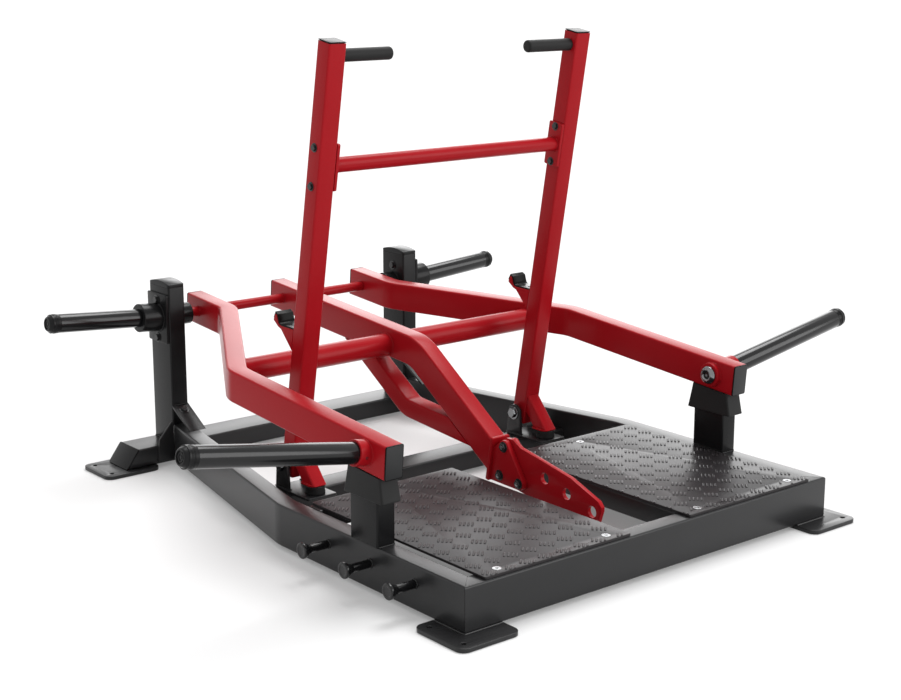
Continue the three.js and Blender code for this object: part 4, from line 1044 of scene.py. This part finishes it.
def stand_cap(name, side):
    """The flared rubber cap, cut to the slope of the arm above it."""
    rate = tan(LEVER_LEAN)
    top = PIVOT_Z - (PIVOT_Y - STAND_MIDDLE) * rate - ARM_HEIGHT / 2 / cos(LEVER_LEAN) - SEAT
    skirt = STAND_TOP - CAP_SKIRT
    wide, flared, rounded = TUBE + 2 * CAP_WALL, STAND_DEPTH + 2 * CAP_FLARE, CORNER + CAP_SOFT
    mouth = (TUBE + 2 * SEAT, STAND_DEPTH + 2 * SEAT, CORNER)
    across, along, up = CAP_SHOULDER
    cap = stacked([
        (*mouth, STAND_TOP - EDGE), (*mouth, skirt),
        (wide - 2 * CAP_SOFT, flared - 2 * CAP_SOFT, CORNER, skirt),
        (wide, flared, rounded, skirt + CAP_BEND), (wide, flared, rounded, STAND_TOP - 1),
        (wide + across, flared + along, rounded, STAND_TOP + up),
        *((TUBE + a, STAND_DEPTH + b, CORNER, top + z) for a, b, z in CAP_SLANT),
    ])
    placed(cap, move(side * RAIL_X, STAND_MIDDLE, 0))
    trim(cap, (0, STAND_MIDDLE, top), (0, -rate, 1), CAP_SOFT)
    dress(f"{name}_stand_cap", cap, RUBBER)


def band_peg(name, side, label, y):
    shank = turned(PEG_PROFILE, CAP_SIDES, ease=0.8)
    foot = round_bead(PEG + BEAD_OFF, LIP, BEAD_THIN, SCREW_SIDES)
    place = move(0, y, PEG_HEIGHT) @ to_side(side) @ move(0, 0, BASE_HALF + SEAT)
    dress(f"{name}_{label}_band_peg", gathered(shank, foot), HORN_COAT, "base", place)


on_both(stand, stand_cap)
for label, y in PEG_PLACES:
    band_peg(*SIDES[0], label, y)

# Rear posts
GUSSET_RATE = GUSSET_HEIGHT / GUSSET_RUN
GUSSET_FRONT = REAR_FRONT - GUSSET_RUN
GUSSET_BACK = REAR_FRONT + SINK
GUSSET_TOP = ON_RAIL + (GUSSET_BACK - GUSSET_FRONT) * GUSSET_RATE


def gusset(side):
    """The sloped plate between the rail and the post."""
    thick = hypot(GUSSET_RUN, GUSSET_HEIGHT) / GUSSET_RUN * GUSSET_THICK
    profile = (
        (GUSSET_FRONT, ON_RAIL), (GUSSET_FRONT + thick / GUSSET_RATE, ON_RAIL),
        (GUSSET_BACK, GUSSET_TOP - thick), (GUSSET_BACK, GUSSET_TOP),
    )
    return side_plate(profile, TUBE, side * POST_X, lip=0.6)


def rear_post(name, side):
    x = side * POST_X
    body = tube((x, POST_MIDDLE, LOW_TOP + SEAT), (x, POST_MIDDLE, POST_TOP), Y, TUBE, REAR_DEPTH)
    house = ring(HOUSING, BEARING + SEAT, HOUSING_INNER, POST_INNER + SINK, ease=1.2)
    house_seam = round_bead(HOUSING + EDGE, HOUSING_OUTER - BEAD_OFF, BEAD_SMALL, BOLT_SIDES)
    gusset_seam = [(x + a, REAR_FRONT - BEAD_OFF, GUSSET_TOP) for a in (-SEAM_REACH, SEAM_REACH)]
    seams = (
        square_bead((x, POST_MIDDLE, LOW_TOP + 1), POST_SEAM, BEAD_LARGE),
        bead(gusset_seam, BEAD_BROAD, closed=False),
        along_x(house_seam, side, PIVOT),
    )
    whole = gathered(body, gusset(side), along_x(house, side, PIVOT), *seams)
    # Painted shade: the post takes the darker copy of the black coat.
    dress(f"{name}_post", whole, BLACK_PAINTED_SHADE)
    run = GUSSET_RUN * GUSSET_BOLT_SHARE
    place = move(x, GUSSET_FRONT + run, ON_RAIL + run * GUSSET_RATE) @ twist(atan(GUSSET_RATE), "X")
    bolt = hex_bolt(BOLT, -SEAT, GUSSET_BOLT_HEIGHT)
    add(f"{name}_gusset_bolt", bolt, DARK_STEEL, "base", place)


def crown_row(share):
    """A cross-section of the post's cap, arched over the depth and rounded at the corners like the post."""
    y = share * REAR_DEPTH / 2
    over = max(0, abs(y) - (REAR_DEPTH / 2 - CORNER))
    half = TUBE / 2 - CORNER + sqrt(max(0, CORNER ** 2 - over ** 2))
    near = max(0, CROWN_SOFT - (REAR_DEPTH / 2 - abs(y)))
    drop = CROWN_SOFT - sqrt(max(0, CROWN_SOFT ** 2 - near ** 2))
    top = SEAT + CROWN_EDGE + CROWN_RISE * (1 - share ** 2) - drop
    soft = CROWN_SOFT * CROWN_BEND
    right = ((half, SEAT), (half, top - CROWN_SOFT), (half - soft, top - soft), (half - CROWN_SOFT, top))
    left = [(-x, z) for x, z in right[::-1]]
    return [(x, y, z) for x, z in (left[-1], *right, *left[:-1])]


def post_cap(name, side):
    neck_size = (TUBE - NECK_INSET, REAR_DEPTH - NECK_INSET, NECK_CORNER)
    neck = stacked([(*neck_size, -NECK_DEPTH), (*neck_size, SEAT + 2)])
    cap = gathered(neck, skin([crown_row(share) for share in CROWN_SHARES]))
    place = move(side * POST_X, POST_MIDDLE, POST_TOP)
    dress(f"{name}_post_cap", cap, PLASTIC, "base", place, smooth=CROWN_ANGLE)


on_both(rear_post, post_cap)


# Weight horns and storage flanges
def aim(side, tilt, x, y, z):
    return move(side * x, y, z) @ twist(side * (pi / 2 - radians(tilt)), "Y")


def horn(length, tilt):
    root = (HORN * sin(radians(tilt)) + SEAT) / cos(radians(tilt))
    return ring(HORN, HORN - HORN_WALL, root, length - HORN_CAP_COVER - SEAT, HORN_SIDES)


def horn_cap(length):
    """The cap over a horn's end, with grip rings on its skirt and a stepped face."""
    root, cover = length - HORN_CAP_SKIRT, length - HORN_CAP_COVER
    skirt = [(HORN_CAP + r, root + z) for r, z in HORN_CAP_LIP]
    for at in range(CAP_RINGS):
        edge = HORN_CAP - (CAP_RINGS - at) * CAP_RING_TAPER
        skirt += [(edge + r, root + CAP_RING_PITCH * (at + 1) + z) for r, z in CAP_RING_GROOVE]
    shoulder = [(HORN_CAP + r, length + z) for r, z in HORN_CAP_SHOULDER]
    face = [(r, length + z) for r, z in HORN_CAP_FACE]
    bore = [(0, cover), (HORN + SEAT, cover), (HORN + SEAT, root)]
    return turned([*bore, *skirt, *shoulder, *face], HORN_SIDES, ease=0.5)


def dress_horn(name, length, tilt, body, place):
    dress(name, horn(length, tilt), HORN_COAT, body, place)
    dress(f"{name}_cap", horn_cap(length), PLASTIC, body, place)


def storage_flange(name, side):
    outline = outline_of(FLANGE_DEPTH, FLANGE_TOP - FLANGE_BOTTOM, steps=6)
    flange = side_plate(outline, FLANGE_THICK, side * (FLANGE_FACE - FLANGE_THICK / 2), lip=1.0)
    placed(flange, move(0, PIVOT_Y, (FLANGE_TOP + FLANGE_BOTTOM) / 2))
    root = (FLANGE_FACE, PIVOT_Y, PIVOT_Z + STORAGE_RISE)
    sleeve = ring(SLEEVE, HORN + SEAT, -FLANGE_THICK / 2, SLEEVE_LENGTH, HORN_SIDES, ease=1.6)
    placed(sleeve, aim(side, STORAGE_TILT, *root))
    seam = placed(round_bead(SLEEVE + EDGE, BEAD_OFF, BEAD_LARGE, CAP_SIDES), aim(side, 0, *root))
    # Painted shade: the flange takes the darker copy of the black coat.
    dress(f"{name}_storage_flange", gathered(flange, sleeve, seam), BLACK_PAINTED_SHADE)
    for at, z in enumerate(FLANGE_BOLTS):
        levels = (FLANGE_FACE - BOLT_SINK, FLANGE_BOLT_HEIGHT, POST_INNER - SEAT, FLANGE_NUT_HEIGHT)
        bolt = through_bolt(side, BOLT, *levels)
        add(f"{name}_flange_bolt_{at}", bolt, DARK_STEEL, "base", move(0, PIVOT_Y, z))


def storage_horn(name, side):
    place = aim(side, STORAGE_TILT, FLANGE_FACE, PIVOT_Y, PIVOT_Z + STORAGE_RISE)
    dress_horn(f"{name}_storage_horn", STORAGE_LENGTH, STORAGE_TILT, "base", place)


def shaft_bearing(name, side):
    middle = HOUSING_INNER + BEARING_WIDTH / 2
    races = [
        ring(outer, inner, middle - half, middle + half, ease=ease)
        for inner, outer, half, ease in BEARING_RINGS
    ]
    dress(f"{name}_shaft_bearing", along_x(gathered(*races), side), STEEL, "base", PIVOT)


on_both(storage_flange, storage_horn, shaft_bearing)


# Lever arms
def tube_end(place, way, normal, width, height):
    """A plastic plug in the end of a tube: its dark rim with the neck, and its face."""
    place = Vector(place)

    def layer(start, end, inset, corner, lips):
        stops = [(place + way * start, way, 1.0), (place + way * end, way, 1.0)]
        return swept(stops, normal, width - 2 * inset, height - 2 * inset, corner, lips)

    neck = layer(-PLUG_NECK, PLUG_HEAD, PLUG_JOINT, CORNER - 1, PLUG_LIPS[0])
    rim = layer(PLUG_THICK - PLUG_HEAD, PLUG_THICK - PLUG_STEP, 0, CORNER, PLUG_LIPS[1])
    face = layer(PLUG_THICK - PLUG_HEAD / 2, PLUG_THICK, PLUG_RIM, CORNER - 1, PLUG_LIPS[2])
    return gathered(neck, rim), face


def add_plugs(name, body, ends, normal, height, plural=""):
    """The plugs of a tube, as one piece for the rims and one for the faces."""
    rims, faces = zip(*(tube_end(place, way, normal, TUBE, height) for place, way in ends))
    add(f"{name}_plug_rim{plural}", gathered(*rims), LINER, body)
    add(f"{name}_plug{plural}", gathered(*faces), DULL, body)


def shaft_spacer(side, start, end):
    """A spacer tube on the pivot shaft, with the weld at its root."""
    body = ring(SPACER, SHAFT + SEAT, start - SINK, end - SEAT, ease=0.8)
    seam = round_bead(SPACER + BEAD_LIFT, start + BEAD_LIFT, BEAD_THIN, SPACER_SIDES)
    return along_x(body, side), along_x(seam, side)


def arm(name, side):
    ends = ((ARM_REAR_X, ARM_REAR), (ARM_REAR_X, -ARM_BEND_1), (RAIL_X, -ARM_BEND_2), (RAIL_X, -ARM_FRONT))
    body = swept(bends([(side * x, y, 0) for x, y in ends], ARM_RADIUS, Z), Z, TUBE, ARM_HEIGHT)
    collar = ring(COLLAR, HORN + SEAT, -COLLAR_LENGTH, COLLAR_LENGTH, HORN_SIDES, ease=1.4)
    placed(collar, aim(side, FRONT_TILT, ARM_OUTER, -HORN_PLACE, HORN_RISE))
    trim(collar, (side * (ARM_OUTER - SINK), 0, 0), (-side, 0, 0), soften=0)
    boss = ring(BOSS, BOSS_BORE, ARM_INNER - BOSS_THICK, ARM_INNER + SINK, HORN_SIDES, ease=1.4)
    along_x(boss, side, BOLT_PLACE)
    spacer, spacer_seam = shaft_spacer(side, ARM_REAR_X + TUBE / 2, HOUSING_INNER)
    collar_seam = round_bead(COLLAR + BEAD_OFF, ARM_OUTER + BEAD_LIFT, BEAD, CAP_SIDES)
    along_x(collar_seam, side, move(0, -HORN_PLACE, HORN_RISE))
    boss_seam = round_bead(BOSS + BEAD_LIFT, ARM_INNER - BEAD_LIFT, BEAD_SMALL, CAP_SIDES)
    along_x(boss_seam, side, BOLT_PLACE)
    whole = gathered(body, collar, boss, spacer, collar_seam, boss_seam, spacer_seam)
    dress(f"{name}_arm", whole, RED, "lever")


def arm_plugs(name, side):
    ends = (((side * RAIL_X, -ARM_FRONT, 0), -Y), ((side * ARM_REAR_X, ARM_REAR, 0), Y))
    add_plugs(f"{name}_arm", "lever", ends, Z, ARM_HEIGHT, "s")


def front_horn(name, side):
    screw = turned([(radius, COLLAR + z) for radius, z in COLLAR_SCREW], SCREW_SIDES, ease=0.2)
    spot = move(side * (ARM_OUTER + COLLAR_LENGTH / 2), -HORN_PLACE, HORN_RISE) @ spin(90, "X")
    add(f"{name}_collar_screw", screw, DARK_STEEL, "lever", spot)
    place = aim(side, FRONT_TILT, ARM_OUTER, -HORN_PLACE, HORN_RISE)
    dress_horn(f"{name}_front_horn", FRONT_LENGTH, FRONT_TILT, "lever", place)


def horn_bolt(name, side):
    """The bright bolt that holds a front horn through the arm, seen from between the arms."""
    head = [(radius, BOLT_SEAT + z) for radius, z in HORN_BOLT_PROFILE]
    bolt = turned([*head, (HORN_BOLT, ARM_OUTER), (0, ARM_OUTER)], HORN_SIDES, ease=0.9)
    screw = flipped(hexagon(HORN_HEX, 0, HORN_HEX_HEIGHT, ease=0.5), BOLT_SEAT + HORN_HEX_LEVEL)
    dress(f"{name}_horn_bolt", along_x(gathered(bolt, screw), side), POLISHED, "lever", BOLT_PLACE)
    outer, inner, start, end = HORN_SOCKET
    socket = ring(outer, inner, BOLT_SEAT + start, BOLT_SEAT + end, ease=0.3)
    add(f"{name}_horn_bolt_socket", along_x(socket, side), DARK_STEEL, "lever", BOLT_PLACE)


on_both(arm, arm_plugs, front_horn, horn_bolt)

# Centre lever, its branch, the cross tubes and the shaft
END_LEAN = radians(END_TILT)
TIP_DOWN = Vector((0, -cos(END_LEAN), -sin(END_LEAN)))
TIP_UP = Vector((0, -sin(END_LEAN), cos(END_LEAN)))


def centre_lever():
    drop_rate = tan(radians(LEVER_DROP))
    past = LEVER_END + ARM_HEIGHT
    corners = ((0, LEVER_REAR, 0), (0, -LEVER_BEND, 0), (0, -past, -(past - LEVER_BEND) * drop_rate))
    body = swept(bends(corners, LEVER_RADIUS, X), X, ARM_HEIGHT, TUBE)
    outward = Matrix.Rotation(-LEVER_LEAN, 3, "X") @ TIP_DOWN
    trim(body, Vector((0, -LEVER_END, TIP_Z)) - outward * SEAT, outward)
    pairs = [shaft_spacer(side, TUBE / 2, ARM_REAR_X - TUBE / 2) for side in BOTH]
    whole = gathered(body, *(spacer for spacer, _ in pairs), *(seam for _, seam in pairs))
    dress("centre_lever", whole, RED, "lever")
    add_plugs("centre_lever", "lever", [((0, LEVER_REAR, 0), Y)], Z, ARM_HEIGHT)


def lever_branch():
    slope = (BRANCH_DEPTH - ARM_HEIGHT / 2) / (BRANCH_BEND - BRANCH_START)
    root = (0, TUBE - BRANCH_START, -ARM_HEIGHT / 2 + TUBE * slope)
    corners = (root, (0, -BRANCH_BEND, -BRANCH_DEPTH), (0, -LEVER_END, -BRANCH_DEPTH))
    body = swept(bends(corners, BRANCH_RADIUS, X), X, TUBE, TUBE)
    drop = radians(LEVER_DROP)
    above = Vector((0, -sin(drop), cos(drop)))
    trim(body, (0, 0, -ARM_HEIGHT / 2 - SEAT), Z, EDGE)
    trim(body, Vector((0, -LEVER_BEND, 0)) + above * (-ARM_HEIGHT / 2 - SEAT), above, EDGE)
    dress("lever_branch", body, RED, "lever")


def cross_tube(name, side):
    outward = Vector((side * cos(ARM_SPLAY), sin(ARM_SPLAY), 0))
    face = Vector((side * ARM_REAR_X, -ARM_BEND_1, 0)) - outward * (TUBE / 2 + SEAT)
    body = rod(CROSS, TUBE / 2 + SEAT, RAIL_X, HORN_SIDES, ease=0.4)
    along_x(body, side, move(0, -CROSS_PLACE, -CROSS_DROP))
    trim(body, face, outward, soften=0.4)
    root, far = [], []
    for y, z in circle(CROSS + BEAD_OFF, CAP_SIDES):
        spot = Vector((0, -CROSS_PLACE + y, -CROSS_DROP + z))
        root.append(spot + X * side * (TUBE / 2 + 1))
        far.append(spot + X * ((face - spot).dot(outward) / outward.x - side * 0.8))
    dress(f"{name}_cross_tube", gathered(body, bead(root), bead(far)), RED, "lever")


def pivot_shaft():
    end, narrow = SHAFT_HALF - SHAFT_CHAMFER, SHAFT - SHAFT_CHAMFER
    half = ((SHAFT, end), (narrow, SHAFT_HALF), (0, SHAFT_HALF))
    shaft = turned([*((radius, -z) for radius, z in half[::-1]), *half], ease=0.4)
    dress("pivot_shaft", along_x(shaft), STEEL, "lever")


centre_lever()
lever_branch()
on_both(cross_tube)
pivot_shaft()


# Lever tip
def tip_clamp():
    """The end plate of the centre lever and the two cheeks that hold the hitch plate."""
    end_plate = plate(outline_of(END_WIDTH, END_ABOVE + END_BELOW, END_CORNER), END_THICK, lip=1.0)
    shift = move(0, -END_THICK / 2, (END_ABOVE - END_BELOW) / 2)
    placed(end_plate, spin(END_TILT, "X") @ shift @ spin(90, "X"))
    backs = [TIP_DOWN * (END_THICK / 2) + TIP_UP * rise for rise in (-END_BELOW + SINK, CHEEK_CORNER)]
    rounds = [spot for y, z in TIP_BOLTS for spot in circle(CHEEK_CORNER, CAP_SIDES, y, z)]
    outline = wrapped(rounds + [(b.y, b.z) for b in backs])
    offset = (TIP_THICK + CHEEK_THICK) / 2 + SEAT
    cheeks = [side_plate(outline, CHEEK_THICK, side * offset, lip=2.0) for side in BOTH]
    dress("tip_clamp", gathered(end_plate, *cheeks), RED, "lever", TIP)


def tip_plate():
    def spots(shares):
        return [(-along * TIP_REACH, TIP_TOP - TIP_HEIGHT + up * TIP_HEIGHT) for along, up in shares]

    holes = [circle(TIP_HOLE, CAP_SIDES, *spot) for spot in spots(TIP_HOLES)]
    dress("tip_plate", side_plate(spots(TIP_SHARES), TIP_THICK, 0, holes, lip=1.2), RED, "lever", TIP)


def tip_bolt(at, y, z):
    face = TIP_THICK / 2 + SEAT + CHEEK_THICK
    radius, start, end = TIP_BOLT_END
    heads = [along_x(hex_bolt(BOLT, face - BOLT_SINK, TIP_BOLT_HEIGHT), side) for side in BOTH]
    ends = [along_x(rod(radius, face + start, face + end, HOLE_SIDES, EDGE), side) for side in BOTH]
    add(f"tip_bolt_{at}", gathered(*heads), DARK_STEEL, "lever", TIP @ move(0, y, z))
    add(f"tip_bolt_end_{at}", gathered(*ends), STEEL, "lever", TIP @ move(0, y, z))


tip_clamp()
tip_plate()
for at, (y, z) in enumerate(TIP_BOLTS):
    tip_bolt(at, y, z)


# Handle frame
def hook_spot(share):
    return (TUBE / 2 - SINK + share[0] * HOOK_REACH, HOOK_FOOT + share[1] * HOOK_HEIGHT)


def upright(name, side):
    x = side * UPRIGHT_X
    body = tube((x, 0, -UPRIGHT_BELOW), (x, 0, UPRIGHT_ABOVE), Y, TUBE, TUBE, hollow=True)
    hook = side_plate([hook_spot(share) for share in HOOK_SHARES], TUBE, x, lip=1.2)
    dress(f"{name}_upright", gathered(body, hook), RED, "handle_frame")
    add_plugs(f"{name}_upright", "handle_frame", [((x, 0, UPRIGHT_ABOVE), Z)], Y, TUBE)


def hook_liner(name, side):
    """The liner in the hook's seat, which folds over the tip, and its screw."""
    seat = [Vector((*hook_spot(share), 0)) for share in HOOK_SEAT]

    def line_off(distance):
        out = []
        for at, spot in enumerate(seat):
            first = (spot - seat[at - 1]).normalized() if at else (seat[1] - spot).normalized()
            second = (seat[at + 1] - spot).normalized() if at + 1 < len(seat) else first
            normal = Vector((-first.y - second.y, first.x + second.x, 0)).normalized()
            moved = spot + normal * (distance / (normal.x * -first.y + normal.y * first.x))
            out.append((moved.x, moved.y))
        return out

    outline = line_off(-SINK) + line_off(HOOK_LINER)[::-1]
    liner = side_plate(outline, TUBE - LINER_INSET, side * UPRIGHT_X, lip=1.0)
    add(f"{name}_hook_liner", liner, LINER, "handle_frame")
    spot = seat[0].lerp(seat[1], LINER_SCREW_SHARE)
    lie = atan2(seat[1].y - seat[0].y, seat[1].x - seat[0].x)
    rest = move(side * UPRIGHT_X, spot.x, spot.y) @ twist(lie, "X") @ move(0, 0, HOOK_LINER)
    add(f"{name}_liner_screw", socket_bolt(*LINER_SCREW), STEEL, "handle_frame", rest)


def grip(name, side):
    tip = [(GRIP + r, GRIP_LENGTH + z) for r, z in GRIP_END]
    body = turned([*GRIP_ROOT, *tip, (0, GRIP_LENGTH)], GRIP_SIDES, ease=1.4)
    place = move(side * UPRIGHT_INNER, 0, GRIP_HEIGHT) @ twist(-side * pi / 2, "Y")
    dress(f"{name}_grip", body, RUBBER, "handle_frame", place)


def bar_bolts(name, side):
    for at, z in enumerate(BAR_BOLTS):
        levels = (UPRIGHT_OUTER + SEAT, BAR_BOLT_HEIGHT, FLANGE_INNER, BAR_BOLT_HEIGHT)
        bolt = through_bolt(side, BAR_BOLT, *levels)
        add(f"{name}_bar_bolt_{at}", bolt, DARK_STEEL, "handle_frame", move(0, 0, z))


def cross_bar():
    bar = along_x(rod(BAR, -FLANGE_INNER, FLANGE_INNER, HORN_SIDES, ease=0.3))
    plates, seams = [], []
    for side in BOTH:
        x = side * (FLANGE_INNER + BAR_FLANGE_THICK / 2)
        plates.append(side_plate(outline_of(TUBE, BAR_FLANGE, steps=6), BAR_FLANGE_THICK, x, lip=1.0))
        seam = round_bead(BAR + BEAD_LIFT, FLANGE_INNER - BEAD_OFF, BEAD_SMALL, BOLT_SIDES)
        seams.append(along_x(seam, side))
    whole = placed(gathered(bar, *plates, *seams), move(0, 0, BAR_HEIGHT))
    dress("cross_bar", whole, RED, "handle_frame")


def brace(name, side):
    slope, lean = radians(BRACE_SLOPE), radians(FRAME_LEAN)
    way = Vector((0, -cos(slope), -sin(slope)))
    below = Vector((0, sin(slope), -cos(slope)))
    face_y = -(TUBE / 2 + BRACE_TOP * sin(lean)) / cos(lean)
    middle = Vector((side * UPRIGHT_X, face_y, BRACE_TOP)) + below * BRACE / 2
    reach = (BRACE_TOP - BRACE_BOTTOM) / sin(slope) + BRACE
    body = tube(middle - way * UPRIGHT_BELOW * 2, middle + way * reach, X, BRACE, BRACE)
    to_upright = Vector((0, cos(lean), sin(lean)))
    foot_middle = BRACE_BOTTOM + BRACE_FOOT_THICK / 2
    trim(body, to_upright * (-TUBE / 2 - SEAT), to_upright, soften=0.4)
    trim(body, (0, 0, foot_middle), (0, 0, -1), soften=0)
    outline = outline_of(BRACE_FOOT_WIDTH, BRACE_FOOT_DEPTH, BRACE_FOOT_CORNER, steps=8)
    foot = plate(outline, BRACE_FOOT_THICK, lip=1.4)
    placed(foot, move(side * UPRIGHT_X, -BUMPER_SETBACK + BRACE_FOOT_SHIFT, foot_middle))
    dress(f"{name}_brace", gathered(body, foot), RED, "handle_frame", FOOT)


on_both(upright, hook_liner, grip, bar_bolts)
cross_bar()
on_both(brace)


# Brackets, pivot bolts and bumpers of the handle frame
def frame_bracket(name, side):
    base_corners = [(half, BUMPER_PLATE - FRAME_Z) for half in (-EAR_WIDTH / 2, EAR_WIDTH / 2)]
    outline = wrapped(circle(EAR_TOP, TURNED_SIDES) + base_corners)
    hole = circle(EAR_HOLE, BOLT_SIDES)
    ears = [side_plate(outline, EAR_THICK, side * x, [hole], lip=0.9) for x in EARS]
    for ear in ears:
        placed(ear, HINGE)
    rear_edge, front_edge = FRAME_Y + EAR_WIDTH / 2, FRAME_Y - EAR_WIDTH / 2 - BASE_DEPTH
    width = EARS[1] - EARS[0] + EAR_THICK + 2 * BASE_MARGIN
    base = plate(outline_of(width, rear_edge - front_edge, steps=6), BASE_THICK, lip=0.9)
    placed(base, move(side * sum(EARS) / 2, (rear_edge + front_edge) / 2, BUMPER_PLATE + BASE_THICK / 2))
    half_x, half_y, level = EAR_THICK / 2 + BEAD_OFF, EAR_WIDTH / 2, BUMPER_PLATE + BASE_THICK + BEAD_LIFT
    seams = []
    for x in EARS:
        corners = ((-1, -1), (1, -1), (1, 1), (-1, 1))
        loop = [(side * x + a * half_x, FRAME_Y + b * half_y, level) for a, b in corners]
        seams.append(bead(loop, BEAD_EAR))
    dress(f"{name}_frame_bracket", gathered(base, *ears, *seams), BLACK)


def frame_pivot_bolt(name, side):
    """The pivot bolt with its washer, head, nut and the bushes beside the upright."""
    inner, outer = EARS[0] - EAR_THICK / 2 - SEAT, EARS[1] + EAR_THICK / 2 + SEAT
    shank = rod(PIVOT_BOLT, inner - PIVOT_HEAD_END, outer + PIVOT_NUT_END, BOLT_SIDES, ease=0.6)
    washer = (PIVOT_WASHER, PIVOT_BOLT + BOLT_SINK, inner - PIVOT_WASHER_THICK, inner)
    head = flipped(hexagon(PIVOT_HEX, 0, PIVOT_HEAD), inner - PIVOT_WASHER_THICK)
    bolt = gathered(
        shank, ring(*washer, CAP_SIDES, ease=0.6), head, hexagon(PIVOT_HEX, outer, PIVOT_NUT),
        rod(BUSH, UPRIGHT_INNER - EAR_GAP + SEAT, UPRIGHT_INNER - SEAT, CAP_SIDES, EDGE),
        rod(BUSH, UPRIGHT_OUTER + SEAT, UPRIGHT_OUTER + EAR_GAP - SEAT, CAP_SIDES, EDGE))
    dress(f"{name}_frame_pivot_bolt", along_x(bolt, side), POLISHED, "base", HINGE)


def bumper(name, side):
    pad = turned(BUMPER_PROFILE, GRIP_SIDES, ease=1.2)
    place = move(side * UPRIGHT_X, FRAME_Y - BUMPER_SETBACK, BUMPER_BOTTOM)
    dress(f"{name}_bumper", pad, RUBBER, "base", place)


on_both(frame_bracket, frame_pivot_bolt, bumper)

# Studio: white floor that keeps the shadow, white surround, soft light
FLOOR_REACH = 60.0
FLOOR_DROP = 0.0005
FLOOR_COLOUR = (0.62, 0.62, 0.62, 1)
FLOOR_GLOW = 0.2
WHITE = (1, 1, 1, 1)
SKY = 0.74
LAMPS = (  # name, azimuth, elevation, strength, angle
    ("key", 60, 66, 2.2, 34),
    ("back", 46, 19, 0.5, 34),
    ("fill", 150, 14, 1.5, 42),
)


def seen_directly(tree):
    """One for what the camera sees, also in mirrors and through glass, and zero for the light."""
    path = node(tree, "ShaderNodeLightPath")
    seen = node(tree, "ShaderNodeMath", operation="MAXIMUM")
    through = node(tree, "ShaderNodeMath", operation="MAXIMUM")
    tree.links.new(path.outputs["Is Camera Ray"], seen.inputs[0])
    tree.links.new(path.outputs["Is Glossy Ray"], seen.inputs[1])
    tree.links.new(seen.outputs[0], through.inputs[0])
    tree.links.new(path.outputs["Is Transmission Ray"], through.inputs[1])
    return through.outputs[0]


def mixed(tree, lighting, seen, output):
    """Sends one shader to the light and the other to the camera."""
    mix = node(tree, "ShaderNodeMixShader")
    out = node(tree, output)
    for at, socket in enumerate((seen_directly(tree), lighting.outputs[0], seen.outputs[0])):
        tree.links.new(socket, mix.inputs[at])
    tree.links.new(mix.outputs[0], out.inputs[0])


def white_floor():
    mesh = bpy.data.meshes.new("floor")
    corners = [(x * FLOOR_REACH, y * FLOOR_REACH, 0) for x, y in ((-1, -1), (1, -1), (1, 1), (-1, 1))]
    mesh.from_pydata(corners, [], [(0, 1, 2, 3)])
    floor = in_scene("floor", mesh)
    floor.location.z = -FLOOR_DROP
    material = bpy.data.materials.new("floor_paper")
    material.use_nodes = True
    tree = material.node_tree
    tree.nodes.clear()
    diffuse = node(tree, "ShaderNodeBsdfDiffuse", Color=FLOOR_COLOUR)
    glow = node(tree, "ShaderNodeEmission", Color=WHITE, Strength=FLOOR_GLOW)
    both = node(tree, "ShaderNodeAddShader")
    tree.links.new(diffuse.outputs[0], both.inputs[0])
    tree.links.new(glow.outputs[0], both.inputs[1])
    mixed(tree, diffuse, both, "ShaderNodeOutputMaterial")
    mesh.materials.append(material)


def surround():
    world = bpy.data.worlds.new("surround")
    bpy.context.scene.world = world
    world.use_nodes = True
    tree = world.node_tree
    tree.nodes.clear()
    soft = node(tree, "ShaderNodeBackground", Color=WHITE, Strength=SKY)
    white = node(tree, "ShaderNodeBackground", Color=WHITE, Strength=1.0)
    mixed(tree, soft, white, "ShaderNodeOutputWorld")


def sun(name, azimuth, elevation, strength, angle):
    lamp = bpy.data.lights.new(name, "SUN")
    lamp.energy = strength
    lamp.angle = radians(angle)
    shown = in_scene(name, lamp)
    a, e = radians(azimuth), radians(elevation)
    toward = Vector((sin(a) * cos(e), cos(a) * cos(e), sin(e)))
    shown.rotation_euler = toward.to_track_quat("Z", "Y").to_euler()


white_floor()
surround()
for lamp in LAMPS:
    sun(*lamp)

# Camera, fitted to the photograph
CAMERA = (-2690.1, -2503.8, 1402.3)
YAW, PITCH, ROLL = 39.17, -12.81, -0.06
FOCAL, CENTRE_X, CENTRE_Y = 1674.75, 442.05, 331.38
IMAGE = (901, 700)
FAR = 200
SENSOR = 36
lens = bpy.data.cameras.new("camera")
lens.sensor_width = SENSOR
lens.lens = FOCAL / IMAGE[0] * SENSOR
lens.shift_x = (IMAGE[0] / 2 - CENTRE_X) / IMAGE[0]
lens.shift_y = (CENTRE_Y - IMAGE[1] / 2) / IMAGE[0]
lens.clip_end = FAR
camera = in_scene("camera", lens)
aimed = spin(-YAW, "Z") @ spin(90 + PITCH, "X") @ spin(ROLL, "Z")
camera.matrix_world = Matrix.Translation(MACHINE @ Vector(CAMERA)) @ aimed
bpy.context.scene.camera = camera
bpy.context.scene.view_settings.view_transform = "Standard"
